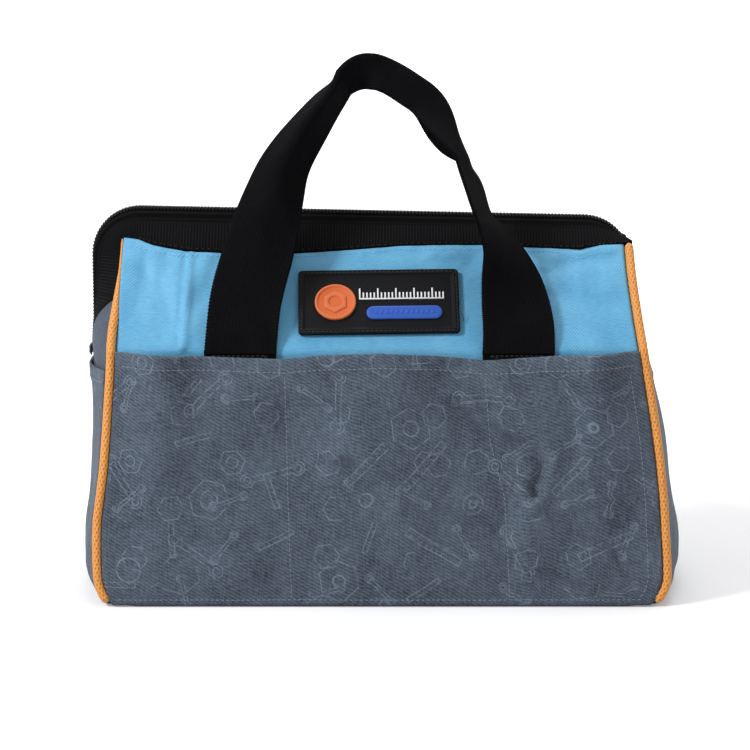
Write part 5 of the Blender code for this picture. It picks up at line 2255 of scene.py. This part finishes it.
@dataclass
class Badge:
    """A moulded badge: a rim with a groove, a ringed disc with a nut on it, a ruler's ticks and a pill."""

    width: float = 86 * MM
    height: float = 40 * MM
    corner: float = 2.2 * MM
    thickness: float = 2.4 * MM
    recess: float = 1.0 * MM
    middle_x: float = BADGE_X
    middle_z: float = 154 * MM
    tilt: float = math.radians(0.9)
    disc_x: float = -23.2 * MM
    disc_up: float = -0.5 * MM
    disc_sides: int = 72
    pill_x: float = 13.6 * MM
    pill_up: float = -7.4 * MM
    pill_length: float = 40.5 * MM
    pill_width: float = 8 * MM
    studs: int = 12
    stud_reach: float = 15 * MM
    ticks: int = 24
    scale_ends: Pair = (-10.5, 35.0)
    stitch_inset: float = 1.475 * MM
    stitch_out: float = 1.95 * MM
    thread_radius: float = 0.2 * MM

    @property
    def seat(self) -> float:
        """Height of the underside of the disc and the pill, just over the recess."""
        return self.thickness - self.recess + 0.1 * MM

    def spot(self, x: float, up: float, out: float) -> Vector:
        """A point over the badge's middle, given across, up the panel and outwards.

        Args:
            x: Distance across.
            up: Distance up the panel.
            out: Distance over the panel.

        Returns:
            The point.
        """
        lean = math.atan(BAG.wall_slope(self.middle_z))
        rise = Vector((0, math.sin(lean), math.cos(lean)))
        normal = Vector((0, -math.cos(lean), math.sin(lean)))
        turned_x = x * math.cos(self.tilt) - up * math.sin(self.tilt)
        turned_up = up * math.cos(self.tilt) + x * math.sin(self.tilt)
        middle = Vector((self.middle_x + turned_x, -BAG.wall_y(self.middle_z), self.middle_z))
        return middle + rise * turned_up + normal * (BAG.fabric / 2 + BAG.gap + out)

    def rectangle(
        self,
        width: float,
        height: float,
        corner: float,
        out: float,
        x: float = 0.0,
        up: float = 0.0,
    ) -> list[Vector]:
        """Draws a ring in the shape of a rectangle with round corners.

        Args:
            width: Its width.
            height: Its height.
            corner: Its corners' radius.
            out: How far it lies over the panel.
            x: Its middle, across from the badge's.
            up: Its middle, up from the badge's.

        Returns:
            The ring.
        """
        ring = []
        for quarter, (sign_x, sign_y) in enumerate(((1, 1), (-1, 1), (-1, -1), (1, -1))):
            for step in range(9):
                angle = math.radians(quarter * 90 + step * 90 / 8)
                across = x + sign_x * (width / 2 - corner) + corner * math.cos(angle)
                rise = up + sign_y * (height / 2 - corner) + corner * math.sin(angle)
                ring.append(self.spot(across, rise, out))
        return ring

    def build_plate(self, finishes: Finishes) -> Piece:
        """Makes the plate with its rim, the groove round it and its recess.

        Args:
            finishes: The bag's materials.

        Returns:
            The plate.
        """
        rings = []
        for inset, out in PLATE_STEPS:
            corner = max(0.3 * MM, self.corner - inset * MM * 0.6)
            width, height = (side - 2 * inset * MM for side in (self.width, self.height))
            rings.append(self.rectangle(width, height, corner, out * MM))
        mesh = Rings()
        mesh.loft(rings)
        return mesh.piece("badge_moulded_plate", [finishes.black_rubber])

    def disc_ring(self, radius: float, out: float, corners: int = 0) -> list[Vector]:
        """Draws a ring round the disc's middle.

        Args:
            radius: Its radius, in millimetres.
            out: How far it stands over the recess, in millimetres.
            corners: Its number of corners, with 0 for a circle.

        Returns:
            The ring.
        """
        ring = []
        for step in range(self.disc_sides):
            angle = 2 * math.pi * step / self.disc_sides
            reach = radius * MM
            if corners:
                half = math.pi / corners
                reach = reach * math.cos(half) / math.cos((angle + half) % (2 * half) - half)
            across = self.disc_x + reach * math.cos(angle)
            ring.append(self.spot(across, self.disc_up + reach * math.sin(angle), self.seat + out * MM))
        return ring

    def build_disc(self, finishes: Finishes) -> Piece:
        """Makes the disc with a raised ring and a hexagonal nut in the middle.

        Args:
            finishes: The bag's materials.

        Returns:
            The disc.
        """
        mesh = Rings()
        mesh.loft([self.disc_ring(radius, out) for radius, out in DISC_STEPS])
        mesh.loft([self.disc_ring(radius, out, corners) for radius, out, corners in NUT_STEPS])
        return mesh.piece("badge_ringed_disc", [finishes.orange_rubber])

    def build_pill(self, finishes: Finishes) -> Piece:
        """Makes the blue pill with a row of small studs.

        Args:
            finishes: The bag's materials.

        Returns:
            The pill.
        """
        mesh = Rings()
        rings = []
        for inset, out in PILL_STEPS:
            corner = max(0.2 * MM, self.pill_width * 0.49 - inset * MM)
            length, width = (side - 2 * inset * MM for side in (self.pill_length, self.pill_width))
            place = self.seat + out * MM, self.pill_x, self.pill_up
            rings.append(self.rectangle(length, width, corner, *place))
        mesh.loft(rings)
        for share in even(self.studs - 1):
            x = self.pill_x + mix(-self.stud_reach, self.stud_reach, share)
            mesh.loft([
                self.rectangle(size * MM, size * 1.5 * MM, 0.3 * MM, self.seat + out * MM, x, self.pill_up)
                for size, out in STUD_STEPS
            ])
        return mesh.piece("badge_pill", [finishes.blue_rubber])

    def build_ticks(self, finishes: Finishes) -> Piece:
        """Makes a raised scale of plain ticks over a thin line.

        Args:
            finishes: The bag's materials.

        Returns:
            The scale.
        """
        floor = self.thickness - self.recess
        left, right = self.scale_ends
        mesh = Rings()

        def bar(x: float, up: float, width: float, height: float) -> None:
            """Adds one raised bar, with its middle and its size in millimetres.

            Args:
                x: Its middle, across from the badge's.
                up: Its middle, up from the badge's.
                width: Its width.
                height: Its height.
            """
            rings = []
            for trim, out in BAR_STEPS:
                across, rise = (width - trim) * MM, (height - trim) * MM
                rings.append(self.rectangle(across, rise, 0.15 * MM, floor + out * MM, x * MM, up * MM))
            mesh.loft(rings)

        bar((left + right) / 2, 1.6, right - left, 0.7)
        for number, share in enumerate(even(self.ticks - 1)):
            tall = 6.4 if number % 5 == 0 else 3.8
            bar(mix(left + 0.4, right - 0.4, share), 1.7 + tall / 2, 0.8, tall)
        return mesh.piece("badge_scale", [finishes.white_rubber])

    def build(self, finishes: Finishes) -> list[Piece]:
        """Makes the badge, its stitches and one loose thread end.

        Args:
            finishes: The bag's materials.

        Returns:
            The pieces.
        """
        plate = sew(self.build_plate(finishes), "black_rubber", "badge_plate")
        disc = sew(self.build_disc(finishes), "orange_rubber", "badge_disc")
        pill = sew(self.build_pill(finishes), "blue_rubber", "badge_bar")
        scale = sew(self.build_ticks(finishes), "black_rubber")
        trim = 2 * self.stitch_inset
        ring = self.rectangle(self.width - trim, self.height - trim, 2.1 * MM, self.stitch_out)
        normal = (self.spot(0, 0, MM) - self.spot(0, 0, 0)).normalized()
        rings = Rings()
        path = [(point, normal) for point in [*ring, ring[0]]]
        stitch_row(rings, path, 2.4 * MM, self.thread_radius, 0.7)
        first, second = Vector((self.thread_radius, 0, 0)), normal * self.thread_radius
        loose = [self.spot(x * MM, up * MM, out * MM) for x, up, out in LOOSE_END]
        rings.loft([round_ring(point, first, second, THREAD_SIDES) for point in loose])
        thread = sew(rings.piece("badge_stitches", [finishes.black_thread]), "black_rubber")
        pieces = [plate, disc, pill, scale, thread]
        for piece in pieces:
            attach(piece, "front_mouth")
        return pieces


# The base's rolled edge, in millimetres: how far each ring is drawn in, and its height
ROLLED_EDGE = ((6, 0.0), (0.7, 0.0), (0.15, 0.35), (0, 0.9), (0.15, 1.45), (0.7, 1.8), (6, 1.8))


@dataclass
class Base:
    """The base cloth with its rolled edge, under the stiffening board, which keeps its solid."""

    tuck: float = 0.9 * MM
    side_share: float = 0.95

    def outline(self, inset: float, z: float) -> list[Vector]:
        """Draws the base's edge from above, at one height.

        Args:
            inset: How far the edge is drawn in.
            z: The height.

        Returns:
            The ring.
        """
        half_depth = BAG.base_depth / 2 - inset - self.tuck
        reach = half_depth - BAG.base_corner
        ring = []
        for end, other, order in ((End.RIGHT, End.LEFT, 1), (End.LEFT, End.RIGHT, -1)):
            corner = BAG.seam_x(end, 0) - end.value * (BAG.base_corner + inset)
            start = BAG.seam_x(other, 0) * self.side_share
            first = 1 if end is End.RIGHT else 0
            for share in even(40)[first:-1]:
                ring.append(Vector((mix(start, corner, share), -order * half_depth, z)))
            for share in even(24):
                y = order * mix(-1, 1, share) * reach
                edge = BAG.fabric * 3 / 2 + BAG.gap - inset - self.tuck
                ring.append(Vector((BAG.gusset_x(end, y, 0) + end.value * edge, y, z)))
        return ring

    def build(self, finishes: Finishes) -> list[Piece]:
        """Makes the base cloth and gives the board its material.

        Args:
            finishes: The bag's materials.

        Returns:
            The base cloth alone.
        """
        mesh = Rings()
        mesh.loft([self.outline(inset * MM, z * MM) for inset, z in ROLLED_EDGE])
        cloth = sew(mesh.piece("base_cloth", [finishes.slate_plain]), "slate_fabric", "base_panel")
        spread = cloth.data.uv_layers.new(name=WEAVE_MAP)
        for corner in cloth.data.loops:
            spot = cloth.data.vertices[corner.vertex_index].co
            spread.data[corner.index].uv = (spot.x, spot.y + spot.z)
        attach(cloth, "shell")
        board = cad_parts["base_board"]
        board.data.materials.clear()
        board.data.materials.append(finishes.board)
        return [cloth]


@dataclass
class ZipSlider:
    """The slider and its pull, which keep the shapes of their solids."""

    nodes: tuple[str, ...] = ("zip_slider", "zip_pull")

    def build(self, finishes: Finishes) -> list[Piece]:
        """Gives both their material.

        Args:
            finishes: The bag's materials.

        Returns:
            The pieces.
        """
        found = [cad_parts[name] for name in self.nodes]
        for piece in found:
            piece.data.materials.clear()
            piece.data.materials.append(finishes.metal)
        return found


@dataclass
class Studio:
    """The plain floor and backdrop, the soft lamps and the camera."""

    eye: Colour = (-0.0035, -1.25733, 0.30814)
    tip: float = math.radians(81)
    lens: float = 109.73
    sensor: float = 36
    floor_z: float = -0.0002
    floor_front: float = -3.0
    floor_half: float = 4
    sweep_start: float = 1.4
    sweep: float = 0.8
    wall_top: float = 4.0
    floor_colour: tuple[float, ...] = (0.86, 0.86, 0.875, 1)
    floor_glow: Pair = (0.24, 0.74)
    glow_reach: Pair = (0.3, 1.3)
    world_light: float = 0.34

    def white(self) -> Finish:
        """Makes a pale floor that the camera sees as white where no shadow falls.

        Returns:
            The material.
        """
        material = bpy.data.materials.new("studio_white")
        material.use_nodes = True
        tree = material.node_tree
        tree.nodes.clear()
        output = tree.nodes.new("ShaderNodeOutputMaterial")
        diffuse = tree.nodes.new("ShaderNodeBsdfDiffuse")
        diffuse.inputs["Color"].default_value = self.floor_colour
        glow = tree.nodes.new("ShaderNodeEmission")
        path = tree.nodes.new("ShaderNodeLightPath")
        seen = tree.nodes.new("ShaderNodeMath")
        seen.operation = "MULTIPLY"
        tree.links.new(path.outputs["Is Camera Ray"], seen.inputs[0])
        place = tree.nodes.new("ShaderNodeTexCoord")
        away = tree.nodes.new("ShaderNodeVectorMath")
        away.operation = "LENGTH"
        tree.links.new(place.outputs["Object"], away.inputs[0])
        rise = tree.nodes.new("ShaderNodeMapRange")
        limits = (*self.glow_reach, *self.floor_glow)
        for socket, value in zip(("From Min", "From Max", "To Min", "To Max"), limits):
            rise.inputs[socket].default_value = value
        tree.links.new(away.outputs["Value"], rise.inputs["Value"])
        tree.links.new(rise.outputs[0], seen.inputs[1])
        tree.links.new(seen.outputs[0], glow.inputs["Strength"])
        both = tree.nodes.new("ShaderNodeAddShader")
        tree.links.new(diffuse.outputs[0], both.inputs[0])
        tree.links.new(glow.outputs[0], both.inputs[1])
        tree.links.new(both.outputs[0], output.inputs["Surface"])
        return material

    def build_floor(self) -> None:
        """Makes the floor, which curves up into the backdrop."""
        rows = [(y, self.floor_z) for y in (self.floor_front, 0.0, self.sweep_start)]
        for degrees in range(10, 91, 10):
            angle = math.radians(degrees)
            y = self.sweep_start + self.sweep * math.sin(angle)
            rows.append((y, self.sweep - self.sweep * math.cos(angle)))
        rows.append((self.sweep_start + self.sweep, self.wall_top))
        points = [(x, y, z) for y, z in rows for x in (-self.floor_half, self.floor_half)]
        faces = [(2 * k, 2 * k + 1, 2 * k + 3, 2 * k + 2) for k in range(len(rows) - 1)]
        mesh = bpy.data.meshes.new("studio_floor")
        mesh.from_pydata(points, [], faces)
        floor = new_piece("studio_floor", mesh, [self.white()])

    def lamp(self, name: str, power: float, size: float, spot: Colour, aim: Colour) -> None:
        """Adds one soft square lamp.

        Args:
            name: Its name.
            power: Its power in watts.
            size: Its side, in metres.
            spot: Where it hangs.
            aim: Where it points.
        """
        data = bpy.data.lights.new(name, "AREA")
        data.energy = power
        data.size = size
        lamp = bpy.data.objects.new(name, data)
        lamp.location = spot
        lamp.rotation_euler = (Vector(aim) - Vector(spot)).to_track_quat("-Z", "Y").to_euler()
        bpy.context.scene.collection.objects.link(lamp)

    def build_world(self) -> None:
        """A pale surrounding that the camera and reflections see as white."""
        world = bpy.data.worlds.new("studio")
        bpy.context.scene.world = world
        world.use_nodes = True
        tree = world.node_tree
        back = tree.nodes["Background"]
        back.inputs["Color"].default_value = (1, 1, 1, 1)
        path = tree.nodes.new("ShaderNodeLightPath")
        total = path.outputs["Is Camera Ray"]
        for name in ("Is Glossy Ray", "Is Transmission Ray"):
            either = tree.nodes.new("ShaderNodeMath")
            either.operation = "MAXIMUM"
            tree.links.new(total, either.inputs[0])
            tree.links.new(path.outputs[name], either.inputs[1])
            total = either.outputs[0]
        level = tree.nodes.new("ShaderNodeMapRange")
        level.inputs["To Min"].default_value = self.world_light
        level.inputs["To Max"].default_value = 1.0
        tree.links.new(total, level.inputs["Value"])
        tree.links.new(level.outputs[0], back.inputs["Strength"])

    def build(self) -> None:
        """Makes the stage and the camera."""
        self.build_floor()
        self.build_world()
        self.lamp("key", 38, 0.5, (-1.6, -0.9, 1.5), (0, 0, 0.1))
        self.lamp("fill", 5, 1.6, (1.5, -1.2, 1.0), (0, 0, 0.1))
        self.lamp("top", 20, 1.2, (0.2, 0.7, 2.1), (0, 0, 0))
        camera = bpy.data.objects.new("camera", bpy.data.cameras.new("camera"))
        camera.data.lens = self.lens
        camera.data.sensor_width = self.sensor
        camera.location = self.eye
        camera.rotation_euler = (self.tip, 0, 0)
        bpy.context.scene.collection.objects.link(camera)
        bpy.context.scene.camera = camera
        bpy.context.scene.view_settings.view_transform = "Standard"


def main() -> None:
    """Builds the bag in order and reports each piece."""
    logging.basicConfig(level=logging.INFO, format="%(message)s")
    Studio().build()
    finishes = Finishes()
    front = LongWall(
        Face.FRONT,
        ((-141.5, 131.2), (-116.7, 130.4), (-94, 129.3), (-54.6, 127.9), (-50.9, 127.9), (-27.2, 130.2),
         (-0.9, 131.6), (25.5, 130.2), (54.4, 127.2), (62.3, 127.5), (90.2, 129.3), (115, 130.8),
         (135.1, 131.6)),
        ((3, -47.1), (24, -48.2), (55, -49.3), (96, -50.4), (126, -51)),
        ((1, 67.4), (55, 64.9), (86, 57.1), (126, 54.1)),
        FRONT_FOLDS,
    )
    back = LongWall(
        Face.BACK,
        ((-141.5, 131), (-100, 129.6), (-52, 128), (0, 131), (54, 128), (100, 129.8), (135, 131)),
        ((3, -52), (60, -50), (126, -51)),
        ((3, 56), (60, 53), (126, 54)),
        BACK_FOLDS,
    )
    assemblies = [
        Base(), front, back, EndWall(End.LEFT, 0.4 * MM, puff=1.2 * MM), EndWall(End.RIGHT, 2.6 * MM),
        *(CornerPiping(face, end) for face in Face for end in End),
        MouthHalf(Face.FRONT), MouthHalf(Face.BACK), ZipSlider(),
        Handle(Face.FRONT, swing=0.0, bend=0.0, turns=FRONT_TURNS),
        Handle(Face.BACK, swing=math.radians(120), bend=math.radians(48), turns=BACK_TURNS),
        Badge(),
    ]
    for assembly in assemblies:
        for piece in assembly.build(finishes):
            LOG.info("%s: %s, %d faces", type(assembly).__name__, piece.name, len(piece.data.polygons))


if __name__ == "__main__":
    main()
